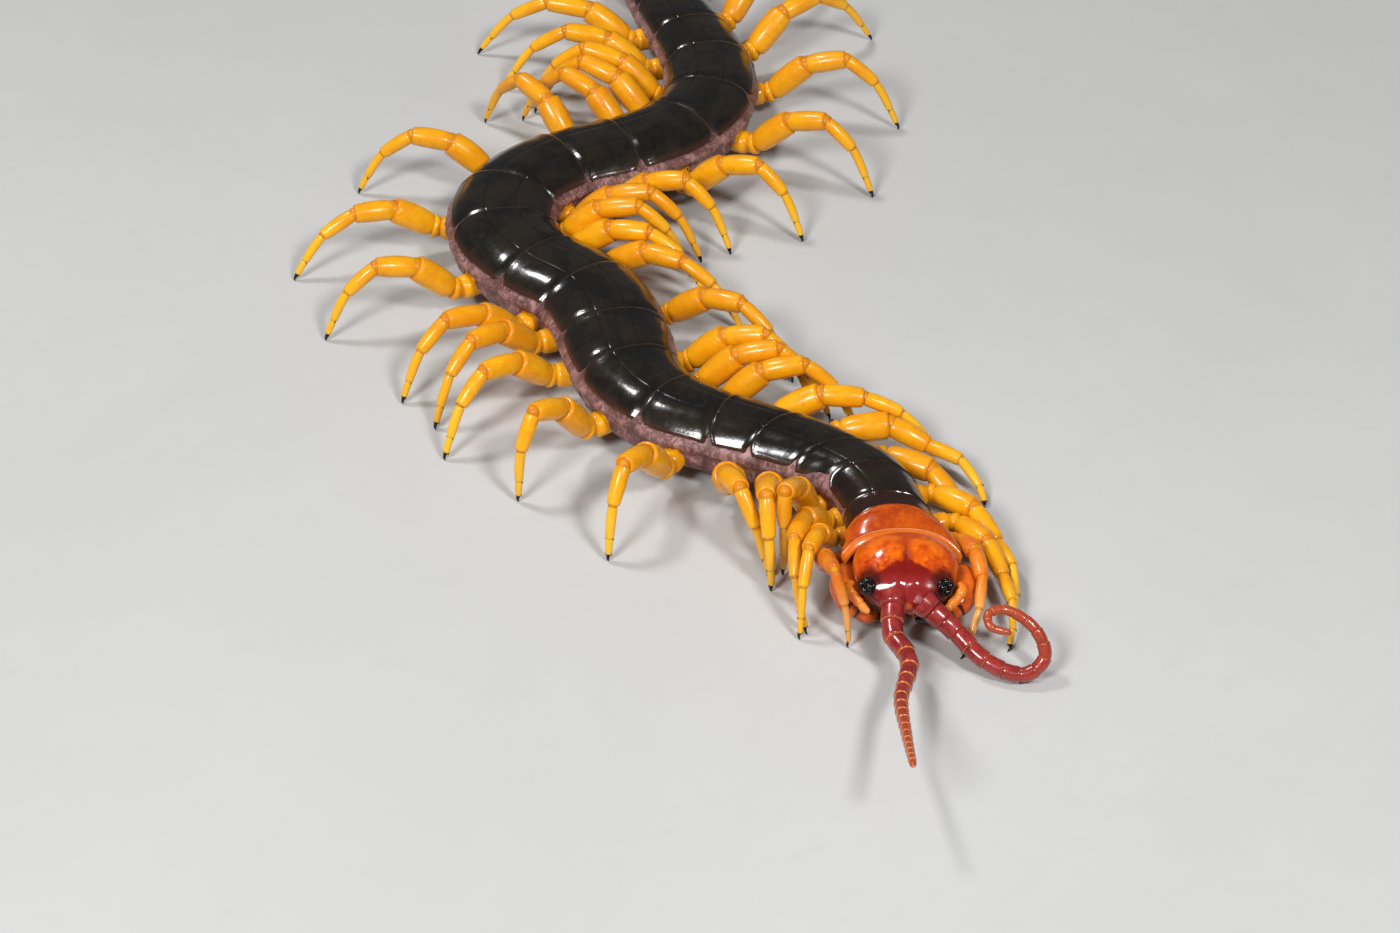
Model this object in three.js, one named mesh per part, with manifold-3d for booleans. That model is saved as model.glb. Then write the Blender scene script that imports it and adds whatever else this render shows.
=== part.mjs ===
import * as THREE from 'three';
import Module from 'manifold-3d';

const wasm = await Module();
wasm.setup();

// Giant centipede, life size, standing on a flat floor at z = 0.
// Millimetres, +Z up, head toward -Y, the animal's left toward +X.

// Middle of the footprint, moved to the origin
const CENTRE_X = 0.55;
const CENTRE_Y = 32.12;

// Clearance between neighbouring parts
const GAP = 0.3;

// Trunk: one entry for each of the 21 leg-bearing segments, from the head back
const SEGMENT_LENGTH = [
  3.9, 2.4, 5.7, 5.0, 7.1, 6.2, 7.4, 8.2, 7.4, 8.8, 7.4,
  9.0, 7.6, 9.2, 7.8, 9.2, 7.8, 9.0, 7.4, 8.2, 7.0,
];
const SEGMENT_WIDTH = [
  11.2, 9.7, 9.4, 9.4, 9.6, 10.0, 10.9, 12.2, 13.2, 13.7, 13.8,
  13.7, 13.4, 13.2, 13.1, 12.9, 12.6, 12.1, 11.4, 10.6, 9.7,
];
const SEGMENT_TOP = [
  8.8, 8.6, 8.7, 8.8, 9.0, 9.1, 9.2, 9.3, 9.4, 9.5, 9.5,
  9.5, 9.5, 9.5, 9.4, 9.3, 9.2, 9.0, 8.8, 8.4, 7.8,
];
// Width at the front edge of the first segment
const FRONT_WIDTH = 12.6;
const BELLY_HEIGHT = 1.5;

// Bend of the body: heading of each segment's middle, degrees from +Y toward +X
const SEGMENT_HEADING = [
  -6, 1, -7, -37, -48, -55, -50, -21, 2, -9, -42,
  -21, 18, 57, 80, 68, 38, 8, -6, -8, -4,
];
// Heading at the front edge of the first segment
const FRONT_HEADING = 12;
const SPINE_START = [16.4, -25.6];
const SPINE_STEP = 0.1;

// Trunk lengths: first and last segment of each named part
const TRUNK_PARTS = [
  ['trunk_01', 1, 1],
  ['trunk_02_04', 2, 4],
  ['trunk_05_07', 5, 7],
  ['trunk_08_10', 8, 10],
  ['trunk_11_13', 11, 13],
  ['trunk_14_16', 14, 16],
  ['trunk_17_19', 17, 19],
  ['trunk_20_21', 20, 21],
];

// Half outline of a body section: share of the half width, share of the height
const BODY_SECTION = [
  [0, 1], [0.36, 0.975], [0.68, 0.87], [0.9, 0.69], [1, 0.54],
  [0.85, 0.46], [0.85, 0.3], [0.74, 0.12], [0.52, 0.01], [0, 0],
];
const TERGITE_POINTS = 5;
// Rings along one segment: share of its length, scale of the back plate
const SEGMENT_RINGS = [[0, 0.93], [0.1, 0.975], [0.5, 1], [0.95, 1.01]];

// Legs
const LEG_ARTICLES = [5.4, 4.8, 4.5, 3.8, 1.9, 1.0];
const LEG_DIAMETERS = [
  [2.8, 2.7], [2.4, 2.0], [1.75, 1.4], [1.2, 1.0], [0.9, 0.72], [0.56, 0.44],
];
const LEG_ROOT_HEIGHT = 3.7;
const LEG_ROOT_OFFSET = 0.9;
// Legs on the inside of a bend stand closer to the body, legs that lie along it further out
const OWN_ROOT_OFFSET = {
  left: { 1: 0.4, 2: 2.2, 3: 1.6, 4: 1.5, 5: 2.1, 6: 1.4, 12: 0.3, 13: 0.3, 14: 0.3, 15: 0.3 },
  right: { 1: 1.7, 3: 0.55, 4: 0.6, 16: 0.3, 17: 0.3, 18: 0.3 },
};
// Stations of the first four pairs; the others stand at the middle of their segments
const FRONT_LEG_PLACES = [2.45, 5.9, 9.95, 15.3];
const COXA_DIAMETER = 2.7;
const TROCHANTER_LENGTH = 1.1;
// How far the short root article already follows the leg's swing and rise
const ROOT_SWING_SHARE = 0.55;
const ROOT_RISE_SHARE = 0.45;
const STUB_LENGTH = 0.8;
const STUB_DEPTH = 3.2;
const LEG_SIDES = 7;
const LEG_DROP = [-45, -68, -72, -80];
const FEMUR_DROP = 30;
// Size of the small first legs and its growth from pair to pair
const FIRST_LEG_SCALE = 0.85;
const FRONT_LEG_GROWTH = 0.05;
const REAR_LEG_GROWTH = 0.035;
const FIRST_LEG_THICKNESS = 0.68;
const THICKNESS_GROWTH = 0.08;

// Swing of each leg in degrees, minus is forward, legs 1 to 20
const LEG_SWING = {
  right: [-68, -58, -34, -10, -16, -23, 4, -12, -28, -20, 24, 20, -20, -38, -20, -18, 4, 22, 28, 34],
  left: [-84, -68, -64, -79, -59, -67, -60, -34, -22, -46, -76, -46, -2, 37, 54, 36, 8, -8, 18, 34],
};
// Turn of a leg from its first article to its last in degrees
const LEG_CURL = -20;
const OWN_LEG_CURL = {
  right: [-95, -16, -84, -46, -51, -86],
  left: [-77, -60, -76, -95, -95, -21],
};
// Rise of each leg's first article in degrees
const LEG_LIFT = {
  right: [49, 45, 39, 61, 53, 49, 50, 54, 42, 42, 42, 42, 34, 40, 44, 44, 44, 44, 40, 36],
  left: [24, 8, 7, 1, 8, 29, 44, 45, 44, 39, 31, 36, 43, 43, 45, 44, 44, 44, 40, 36],
};

// Last pair of legs, trailing behind the body
const LAST_ARTICLES = [9.2, 7.8, 6.4, 5.0, 3.6, 1.8];
const LAST_DIAMETERS = [
  [3.1, 3.3], [2.9, 2.6], [2.3, 2.0], [1.7, 1.4], [1.2, 0.9], [0.7, 0.5],
];
const LAST_RISE = [22, 6, -8, -20, -28, -40];
const LAST_SPLAY = { right: 20, left: 26 };
const LAST_ROOT = [2.5, 1.0, 4.3];
const LAST_ROOT_SETBACK = 0.6;
const LAST_COXA_DIAMETER = 2.8;

// Head, measured along its own axis from the back edge of the head plate
const HEAD_HEADING = 13.5;
const HEAD_ORIGIN = [16.75, -25.75];
// Distance forward, half width, top and bottom of each head ring
const HEAD_RINGS = [
  [0.5, 4.2, 8.2, 4.4], [1.4, 5.1, 8.75, 4.2], [3.1, 5.55, 8.95, 4.0], [4.9, 5.4, 8.5, 3.9],
  [6.4, 4.9, 7.8, 3.8], [7.5, 4.2, 7.0, 3.8], [8.1, 2.9, 6.3, 3.9],
];
const HEAD_SECTION = [
  [0, 1], [0.36, 0.97], [0.68, 0.87], [0.9, 0.7], [1, 0.5], [0.82, 0.32], [0.62, 0.08], [0, 0],
];
// Eye patch: place on the head, the way it faces, and its four eyes
const EYE_PLACE = [7.0, 4.1, 6.5];
const EYE_AIM = [0.55, 0.6, 0.6];
const EYE_PATCH_RADIUS = 1.0;
const EYE_PATCH_DEPTH = 0.45;
const EYE_RADIUS = 0.42;
const EYE_SIDES = 6;
const EYE_SPOTS = [[0.42, 0.38], [-0.38, 0.42], [0.45, -0.4], [-0.4, -0.42]];

// Antennae: 18 articles each, thickest at the root
const ANTENNA_ARTICLES = [
  1.9, 2.3, 2.6, 2.7, 2.4, 2.2, 2.1, 2.0, 1.9, 1.8, 1.8, 1.7, 1.6, 1.5, 1.4, 1.3, 1.2, 1.2,
];
// Diameters at shares of an antenna's length
const ANTENNA_PLACES = [0, 0.08, 0.2, 0.4, 0.6, 0.8, 1];
const ANTENNA_DIAMETERS = [2.6, 2.25, 2.0, 1.65, 1.35, 1.05, 0.75];
const ANTENNA_RINGS = [[0.04, 0.86], [0.6, 1.04]];
const ANTENNA_SIDES = 7;
const ANTENNA_ROUTE = {
  right: [
    [13.3, -34.1, 5.3], [12.6, -37.2, 4.2], [13.2, -39.6, 3.9], [13.1, -42.0, 4.1],
    [11.8, -45.2, 4.7], [10.4, -48.7, 5.6], [9.0, -55.9, 7.8], [7.7, -63.3, 10.3],
  ],
  left: [
    [17.2, -35.4, 5.25], [19.5, -37.5, 3.4], [21.3, -40.2, 2.1], [23.8, -42.2, 1.3],
    [25.8, -42.9, 1.4], [27.6, -42.2, 2.7], [27.3, -40.7, 4.5], [26.1, -39.4, 5.7],
    [24.2, -38.2, 6.4], [22.4, -38.5, 6.4], [22.3, -39.7, 5.7], [24.4, -40.4, 5.0],
  ],
};

// Colours of the living animal
const ORANGE_RED = 0xb8441c;
const DARK_PLATE = 0x1c1712;
const AMBER = 0xd08a18;
const WINE_RED = 0x7c2018;
const EYE_BLACK = 0x0a0a0c;

const rad = THREE.MathUtils.degToRad;
const lerp = THREE.MathUtils.lerp;

function material(color, roughness) {
  return new THREE.MeshStandardMaterial({ color, roughness, metalness: 0 });
}

function part(name, geometry, color, roughness = 0.4) {
  const mesh = new THREE.Mesh(geometry, material(color, roughness));
  mesh.name = name;
  return mesh;
}

// Value at a place along a list of knots
function along(place, knots, values) {
  if (place <= knots[0]) return values[0];
  for (let i = 1; i < knots.length; i += 1) {
    if (place <= knots[i]) {
      const share = (place - knots[i - 1]) / (knots[i] - knots[i - 1]);
      return lerp(values[i - 1], values[i], share);
    }
  }
  return values[values.length - 1];
}

// Closed body through rings of equal point count, with a flat cap at each end
function loft(rings) {
  const count = rings[0].length;
  const positions = [];
  const index = [];
  for (const ring of rings) ring.forEach((p) => positions.push(p.x, p.y, p.z));
  for (const ring of [rings[0], rings[rings.length - 1]]) {
    const middle = new THREE.Vector3();
    ring.forEach((p) => middle.addScaledVector(p, 1 / count));
    positions.push(middle.x, middle.y, middle.z);
  }
  const firstCap = rings.length * count;
  const lastRing = (rings.length - 1) * count;
  for (let k = 0; k < count; k += 1) {
    const next = (k + 1) % count;
    for (let r = 0; r < rings.length - 1; r += 1) {
      const a = r * count + k;
      const b = r * count + next;
      index.push(a, b, a + count, b, b + count, a + count);
    }
    index.push(firstCap, next, k);
    index.push(firstCap + 1, lastRing + k, lastRing + next);
  }
  return outward(positions, index);
}

// Geometry with its faces turned outward
function outward(positions, index) {
  const corner = (i) => new THREE.Vector3().fromArray(positions, i * 3);
  let volume = 0;
  for (let t = 0; t < index.length; t += 3) {
    const [a, b, c] = [corner(index[t]), corner(index[t + 1]), corner(index[t + 2])];
    volume += a.dot(b.cross(c));
  }
  if (volume < 0) index.reverse();
  const geometry = new THREE.BufferGeometry();
  geometry.setAttribute('position', new THREE.Float32BufferAttribute(positions, 3));
  geometry.setIndex(index);
  geometry.computeVertexNormals();
  return geometry;
}

// Round tube along a route, one radius for each point
function tube(points, radii, sides) {
  const rings = [];
  let across = null;
  points.forEach((point, i) => {
    const before = points[Math.max(i - 1, 0)];
    const after = points[Math.min(i + 1, points.length - 1)];
    const inward = point.clone().sub(before).normalize();
    const onward = after.clone().sub(point).normalize();
    const axis = inward.add(onward).normalize();
    const seed = across || new THREE.Vector3(-axis.y, axis.x, 0);
    across = seed.clone().addScaledVector(axis, -seed.dot(axis)).normalize();
    const up = axis.clone().cross(across);
    rings.push(circle(point, across, up, radii[i], sides));
  });
  return rings;
}

function circle(middle, across, up, radius, sides) {
  const ring = [];
  for (let k = 0; k < sides; k += 1) {
    const angle = (2 * Math.PI * (k + 0.5)) / sides;
    ring.push(
      middle.clone()
        .addScaledVector(across, Math.cos(angle) * radius)
        .addScaledVector(up, Math.sin(angle) * radius),
    );
  }
  return ring;
}

function toSolid(geometry) {
  return new wasm.Manifold(new wasm.Mesh({
    numProp: 3,
    vertProperties: new Float32Array(geometry.getAttribute('position').array),
    triVerts: new Uint32Array(geometry.getIndex().array),
  }));
}

// One closed body from overlapping ones
function fuse(geometries) {
  const sum = geometries.map(toSolid).reduce((a, b) => a.add(b));
  const bodies = sum.decompose().sort((a, b) => b.volume() - a.volume());
  const mesh = bodies[0].getMesh();
  const geometry = new THREE.BufferGeometry();
  geometry.setAttribute('position', new THREE.Float32BufferAttribute(mesh.vertProperties, 3));
  geometry.setIndex(Array.from(mesh.triVerts));
  geometry.computeVertexNormals();
  return geometry;
}

// Spine: stations along the body and the heading there
const EDGES = [0];
SEGMENT_LENGTH.forEach((length) => EDGES.push(EDGES[EDGES.length - 1] + length));
const MIDDLES = SEGMENT_LENGTH.map((length, i) => EDGES[i] + length / 2);
const BODY_LENGTH = EDGES[EDGES.length - 1];
const KNOTS = [0, ...MIDDLES];

function headingAt(station) {
  return rad(along(station, KNOTS, [FRONT_HEADING, ...SEGMENT_HEADING]));
}

function spinePoints() {
  const points = [[SPINE_START[0] - CENTRE_X, SPINE_START[1] - CENTRE_Y]];
  const count = Math.ceil(BODY_LENGTH / SPINE_STEP);
  for (let i = 0; i < count; i += 1) {
    const heading = headingAt((i + 0.5) * SPINE_STEP);
    const [x, y] = points[i];
    points.push([x + SPINE_STEP * Math.sin(heading), y + SPINE_STEP * Math.cos(heading)]);
  }
  return points;
}
const SPINE = spinePoints();

// Frame standing on the floor under a station: +X to the left, +Y toward the tail
function bodyFrame(station) {
  const place = Math.min(Math.max(station / SPINE_STEP, 0), SPINE.length - 1.001);
  const low = Math.floor(place);
  const share = place - low;
  const frame = new THREE.Matrix4().makeRotationZ(-headingAt(station));
  frame.setPosition(
    lerp(SPINE[low][0], SPINE[low + 1][0], share),
    lerp(SPINE[low][1], SPINE[low + 1][1], share),
    0,
  );
  return frame;
}

// Whole outline from a half one, as points in a frame
function section(half, halfWidth, top, bottom, frame, forward = 0) {
  const right = half.slice(1, -1).reverse().map(([a, b]) => [-a, b]);
  return [...half, ...right].map(([a, b]) => (
    new THREE.Vector3(a * halfWidth, -forward, lerp(bottom, top, b)).applyMatrix4(frame)
  ));
}

// Ring of the trunk; the plate scale lowers and narrows the back plate only
function trunkRing(station, plateScale, forward = 0) {
  const outline = BODY_SECTION.map(([a, b], i) => (
    i < TERGITE_POINTS ? [a * plateScale, b * plateScale] : [a, b]
  ));
  const halfWidth = along(station, KNOTS, [FRONT_WIDTH, ...SEGMENT_WIDTH]) / 2;
  const top = along(station, MIDDLES, SEGMENT_TOP);
  return section(outline, halfWidth, top, BELLY_HEIGHT, bodyFrame(station), forward);
}

function trunkBody(first, last) {
  const rings = [];
  for (let n = first; n <= last; n += 1) {
    for (const [share, scale] of SEGMENT_RINGS) {
      const station = EDGES[n - 1] + share * SEGMENT_LENGTH[n - 1];
      rings.push(trunkRing(station, scale, n === first && share === 0 ? -GAP / 2 : 0));
    }
  }
  rings.push(trunkRing(EDGES[last], SEGMENT_RINGS[0][1], GAP / 2));
  return loft(rings);
}

// Direction in a leg's own frame: +X outward, +Y along the given side's tail
function direction(swing, rise, side) {
  const out = Math.cos(rad(rise));
  return new THREE.Vector3(
    out * Math.cos(rad(swing)),
    side * out * Math.sin(rad(swing)),
    Math.sin(rad(rise)),
  );
}

function legFrame(station, side) {
  const turn = new THREE.Matrix4().makeRotationZ(side > 0 ? 0 : Math.PI);
  return bodyFrame(station).multiply(turn);
}

function legScale(index) {
  const front = Math.min(1, FIRST_LEG_SCALE + FRONT_LEG_GROWTH * (index - 1));
  return front + Math.max(0, index - 16) * REAR_LEG_GROWTH;
}

function rootOffset(index, sideName) {
  return OWN_ROOT_OFFSET[sideName][index] || LEG_ROOT_OFFSET;
}

function thicknessScale(index) {
  return Math.min(1, FIRST_LEG_THICKNESS + THICKNESS_GROWTH * (index - 1));
}

// Joints of a leg whose lower articles are turned until the tip meets the floor
function solveLeg(start, lengths, rises, swings, side) {
  const build = (extra) => {
    const joints = [start.clone()];
    lengths.forEach((length, i) => {
      const rise = Math.max(rises[i] + (i > 1 ? extra : 0), -88);
      const step = direction(swings[i], rise, side).multiplyScalar(length);
      joints.push(joints[i].clone().add(step));
    });
    return joints;
  };
  let low = -80;
  let high = 70;
  for (let i = 0; i < 40; i += 1) {
    const middle = (low + high) / 2;
    if (build(middle)[lengths.length].z > 0) high = middle;
    else low = middle;
  }
  return build((low + high) / 2);
}

function walkingLeg(index, sideName) {
  const side = sideName === 'left' ? 1 : -1;
  const station = FRONT_LEG_PLACES[index - 1] || MIDDLES[index - 1];
  const swing = LEG_SWING[sideName][index - 1];
  const lift = LEG_LIFT[sideName][index - 1];
  const curl = OWN_LEG_CURL[sideName][index - 1] || LEG_CURL;
  const root = new THREE.Vector3(
    SEGMENT_WIDTH[index - 1] / 2 + rootOffset(index, sideName),
    0,
    LEG_ROOT_HEIGHT,
  );
  const aim = direction(swing * ROOT_SWING_SHARE, lift * ROOT_RISE_SHARE, side);
  const start = root.clone().addScaledVector(aim, TROCHANTER_LENGTH);
  const lengths = LEG_ARTICLES.map((length) => length * legScale(index));
  const swings = LEG_ARTICLES.map((_, i) => swing + (curl * i) / 5);
  const rises = [lift, lift - FEMUR_DROP, ...LEG_DROP];
  const thick = thicknessScale(index);
  return {
    frame: legFrame(station, side),
    root,
    aim,
    inward: new THREE.Vector3(-STUB_DEPTH, 0, 0),
    coxa: (COXA_DIAMETER / 2) * thick,
    joints: solveLeg(start, lengths, rises, swings, side),
    diameters: LEG_DIAMETERS.map(([a, b]) => [a * thick, b * thick]),
  };
}

function lastLeg(sideName) {
  const side = sideName === 'left' ? 1 : -1;
  const station = BODY_LENGTH - LAST_ROOT_SETBACK;
  const splay = LAST_SPLAY[sideName];
  const root = new THREE.Vector3(LAST_ROOT[0], side * LAST_ROOT[1], LAST_ROOT[2]);
  const aim = direction(90 - splay * 0.5, 8, side);
  const start = root.clone().addScaledVector(aim, TROCHANTER_LENGTH);
  const swings = LAST_ARTICLES.map((_, i) => 90 - splay + i * 2);
  return {
    frame: legFrame(station, side),
    root,
    aim,
    inward: new THREE.Vector3(0, -side * STUB_DEPTH, 0),
    coxa: LAST_COXA_DIAMETER / 2,
    joints: solveLeg(start, LAST_ARTICLES, LAST_RISE, swings, side),
    diameters: LAST_DIAMETERS,
  };
}

// Rings of one article: shares of its length and scales of its diameter
const WIDE_ARTICLE = [[0, 0.86], [0.2, 1.03], [0.86, 1.05]];
const SLIM_ARTICLE = [[0.08, 0.95], [0.9, 1.05]];
const LAST_TARSUS = [[0.08, 0.95]];
const CLAW_ARTICLE = [[0, 1]];
const ARTICLE_RINGS = [
  WIDE_ARTICLE, WIDE_ARTICLE, WIDE_ARTICLE, SLIM_ARTICLE, LAST_TARSUS, CLAW_ARTICLE,
];

function legGeometry(leg) {
  const points = [leg.root.clone().addScaledVector(leg.aim, GAP / 2)];
  const radii = [leg.coxa];
  leg.diameters.forEach(([thick, thin], i) => {
    for (const [share, scale] of ARTICLE_RINGS[i]) {
      points.push(leg.joints[i].clone().lerp(leg.joints[i + 1], share));
      radii.push((lerp(thick, thin, share) / 2) * scale);
    }
  });
  const tip = leg.joints[leg.joints.length - 1];
  const rings = tube([...points, tip], [...radii, leg.diameters[5][1] / 2], LEG_SIDES);
  rings[rings.length - 1] = rings[rings.length - 1].map((p) => new THREE.Vector3(p.x, p.y, 0));
  return loft(rings);
}

// Stub on the trunk that carries a leg, ending in a flat face
function coxaStub(leg) {
  const outer = leg.root.clone().addScaledVector(leg.aim, -GAP / 2);
  const middle = leg.root.clone().addScaledVector(leg.aim, -STUB_LENGTH);
  const inner = leg.root.clone().add(leg.inward);
  const rings = tube([inner, middle, outer], [leg.coxa * 0.8, leg.coxa, leg.coxa], LEG_SIDES);
  return loft(rings).applyMatrix4(leg.frame);
}

function legMesh(name, leg, color) {
  const mesh = part(name, legGeometry(leg), color, 0.3);
  mesh.applyMatrix4(leg.frame);
  return mesh;
}

const root = new THREE.Group();
root.name = 'giant_centipede';
const legs = new THREE.Group();
legs.name = 'legs';
const stubs = {};
for (const sideName of ['left', 'right']) {
  for (let n = 1; n <= 21; n += 1) {
    const leg = n === 21 ? lastLeg(sideName) : walkingLeg(n, sideName);
    const color = n === 1 || n === 21 ? ORANGE_RED : AMBER;
    legs.add(legMesh(`leg_${sideName}_${String(n).padStart(2, '0')}`, leg, color));
    stubs[n] = [...(stubs[n] || []), coxaStub(leg)];
  }
}

// Broad plate under the head that carries the poison claws
const HEAD_FRAME = new THREE.Matrix4().makeRotationZ(-rad(HEAD_HEADING));
HEAD_FRAME.setPosition(HEAD_ORIGIN[0] - CENTRE_X, HEAD_ORIGIN[1] - CENTRE_Y, 0);
// Distance forward of the head origin, half width, top, bottom
const CHIN_RINGS = [
  [-1.5, 4.6, 3.5, 1.5], [0.4, 4.1, 3.5, 1.35], [2.4, 3.8, 3.5, 1.3], [5.0, 2.9, 3.4, 1.4],
  [5.8, 2.2, 3.3, 1.7],
];
const CHIN_SECTION = [[0, 1], [0.8, 1], [1, 0.6], [0.85, 0.15], [0.5, 0], [0, 0]];

// Poison claws: distance forward, distance outward, height, diameter
const CLAW_ROUTE = [
  [1.1, 5.5, 3.3, 3.0], [2.0, 5.95, 3.5, 3.4], [3.5, 6.25, 3.5, 3.4], [5.0, 5.95, 3.3, 3.1],
  [6.3, 5.1, 3.0, 2.5], [7.0, 4.0, 2.6, 1.9], [7.3, 2.7, 2.3, 1.3], [7.2, 1.1, 2.2, 0.5],
];
const CLAW_SIDES = 8;
// Feeding palps: distance forward, distance outward, height, diameter
const PALP_ROUTE = [
  [5.4, 5.7, 5.6, 0.85], [6.1, 5.95, 5.45, 1.1], [6.9, 5.4, 5.0, 1.15], [7.6, 4.6, 4.35, 1.0],
  [8.1, 3.8, 3.75, 0.6],
];
const PALP_SIDES = 6;
// Depth of the sockets that carry the claws, palps and antennae
const CLAW_SOCKET_DEPTH = 1.1;
const PALP_SOCKET_DEPTH = 2.0;
const ANTENNA_SOCKET_DEPTH = 2.2;
const EYE_SEAT_DEPTH = 1.4;

function headPoint([forward, outwardBy, height], side) {
  return new THREE.Vector3(side * outwardBy, -forward, height);
}

function routeTube(route, side, sides) {
  const points = route.map((row) => headPoint(row, side));
  return loft(tube(points, route.map((row) => row[3] / 2), sides));
}

// Stub that faces the first ring of a route across the clearance
function routeStub(route, side, sides, depth) {
  const first = headPoint(route[0], side);
  const back = first.clone().sub(headPoint(route[1], side)).normalize();
  const outer = first.clone().addScaledVector(back, GAP);
  const inner = outer.clone().addScaledVector(back, depth);
  const radius = route[0][3] / 2;
  return loft(tube([inner, outer], [radius * 0.7, radius], sides));
}

function chin() {
  const frame = new THREE.Matrix4();
  const body = loft(CHIN_RINGS.map(([forward, half, top, bottom]) => (
    section(CHIN_SECTION, half, top, bottom, frame, forward)
  )));
  const sockets = [1, -1].map((side) => (
    routeStub(CLAW_ROUTE, side, CLAW_SIDES, CLAW_SOCKET_DEPTH)
  ));
  return [body, ...sockets].map((piece) => piece.applyMatrix4(HEAD_FRAME));
}

// Antenna of narrow-waisted articles along a smooth route
function antennaRings(route) {
  const total = ANTENNA_ARTICLES.reduce((a, b) => a + b);
  const points = [];
  const radii = [];
  let start = 0;
  for (const length of ANTENNA_ARTICLES) {
    for (const [share, scale] of ANTENNA_RINGS) {
      const place = (start + share * length) / total;
      points.push(route.getPointAt(place));
      radii.push((along(place, ANTENNA_PLACES, ANTENNA_DIAMETERS) / 2) * scale);
    }
    start += length;
  }
  points.push(route.getPointAt(1));
  radii.push(ANTENNA_DIAMETERS[ANTENNA_DIAMETERS.length - 1] * 0.3);
  return tube(points, radii, ANTENNA_SIDES);
}

function antennaRoute(sideName) {
  return new THREE.CatmullRomCurve3(
    ANTENNA_ROUTE[sideName].map(([x, y, z]) => new THREE.Vector3(x - CENTRE_X, y - CENTRE_Y, z)),
    false,
    'centripetal',
  );
}

// Raised socket on the head that faces the antenna's root
function antennaSocket(route) {
  const aim = route.getPointAt(0.035).sub(route.getPointAt(0)).normalize();
  const outer = route.getPointAt(0).addScaledVector(aim, -GAP);
  const inner = outer.clone().addScaledVector(aim, -ANTENNA_SOCKET_DEPTH);
  const radius = ANTENNA_DIAMETERS[0] * 0.45;
  return loft(tube([inner, outer], [radius, radius], ANTENNA_SIDES));
}

function eyeAxes(side) {
  const aim = headPoint(EYE_AIM, side).normalize();
  const across = new THREE.Vector3(-aim.y, aim.x, 0).normalize();
  return { place: headPoint(EYE_PLACE, side), aim, across, up: aim.clone().cross(across) };
}

// Low flat boss on the head under each eye patch
function eyeSeat(side) {
  const { place, aim } = eyeAxes(side);
  const inner = place.clone().addScaledVector(aim, -EYE_SEAT_DEPTH);
  return loft(tube([inner, place], [EYE_PATCH_RADIUS, EYE_PATCH_RADIUS], EYE_SIDES));
}

// Patch with four bead eyes
function eyes(side) {
  const { place, aim, across, up } = eyeAxes(side);
  const low = place.clone().addScaledVector(aim, GAP);
  const high = low.clone().addScaledVector(aim, EYE_PATCH_DEPTH);
  const patch = loft(tube([low, high], [EYE_PATCH_RADIUS, EYE_PATCH_RADIUS * 0.8], EYE_SIDES));
  const beads = EYE_SPOTS.map(([a, b]) => {
    const middle = high.clone().addScaledVector(across, a).addScaledVector(up, b);
    const base = middle.clone().addScaledVector(aim, -0.3);
    const crown = middle.clone().addScaledVector(aim, EYE_RADIUS * 0.7);
    const radii = [EYE_RADIUS * 0.8, EYE_RADIUS, EYE_RADIUS * 0.5];
    return loft(tube([base, middle, crown], radii, EYE_SIDES));
  });
  return fuse([patch, ...beads]);
}

const trunk = new THREE.Group();
trunk.name = 'trunk';
for (const [name, first, last] of TRUNK_PARTS) {
  const pieces = [trunkBody(first, last)];
  for (let n = first; n <= last; n += 1) pieces.push(...stubs[n]);
  if (first === 1) pieces.push(...chin());
  trunk.add(part(name, fuse(pieces), first === 1 ? ORANGE_RED : DARK_PLATE, 0.3));
}

const head = new THREE.Group();
head.name = 'head_parts';
const capsule = loft(HEAD_RINGS.map(([forward, half, top, bottom]) => (
  section(HEAD_SECTION, half, top, bottom, new THREE.Matrix4(), forward)
)));
const headPieces = [capsule];
const antennae = new THREE.Group();
antennae.name = 'antennae';
const toHead = HEAD_FRAME.clone().invert();
for (const [sideName, side] of [['left', 1], ['right', -1]]) {
  const route = antennaRoute(sideName);
  antennae.add(part(`antenna_${sideName}`, loft(antennaRings(route)), WINE_RED, 0.3));
  headPieces.push(antennaSocket(route).applyMatrix4(toHead));
  headPieces.push(eyeSeat(side), routeStub(PALP_ROUTE, side, PALP_SIDES, PALP_SOCKET_DEPTH));
  const claw = routeTube(CLAW_ROUTE, side, CLAW_SIDES);
  const palp = routeTube(PALP_ROUTE, side, PALP_SIDES);
  head.add(part(`forcipule_${sideName}`, claw, ORANGE_RED, 0.3));
  head.add(part(`palp_${sideName}`, palp, AMBER, 0.4));
  head.add(part(`ocelli_${sideName}`, eyes(side), EYE_BLACK, 0.1));
}
head.add(part('head', fuse(headPieces), ORANGE_RED, 0.3));
head.applyMatrix4(HEAD_FRAME);

root.add(head, antennae, trunk, legs);
export default root;
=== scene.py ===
import math
import random

import bmesh
import bpy
import numpy as np
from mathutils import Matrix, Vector, noise


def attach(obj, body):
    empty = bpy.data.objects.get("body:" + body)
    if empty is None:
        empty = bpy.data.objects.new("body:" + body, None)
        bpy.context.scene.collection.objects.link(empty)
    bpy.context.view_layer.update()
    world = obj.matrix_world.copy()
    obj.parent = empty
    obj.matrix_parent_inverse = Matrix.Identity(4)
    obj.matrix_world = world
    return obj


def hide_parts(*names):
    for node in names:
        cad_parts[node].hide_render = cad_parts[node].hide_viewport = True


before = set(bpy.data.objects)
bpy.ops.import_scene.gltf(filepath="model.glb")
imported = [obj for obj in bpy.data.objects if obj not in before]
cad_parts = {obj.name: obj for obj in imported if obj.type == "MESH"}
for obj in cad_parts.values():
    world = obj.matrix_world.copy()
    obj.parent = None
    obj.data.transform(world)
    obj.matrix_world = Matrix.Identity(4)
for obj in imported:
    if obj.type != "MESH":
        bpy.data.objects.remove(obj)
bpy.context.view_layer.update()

# Sizes in millimetres, angles in degrees
MM = 0.001
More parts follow.
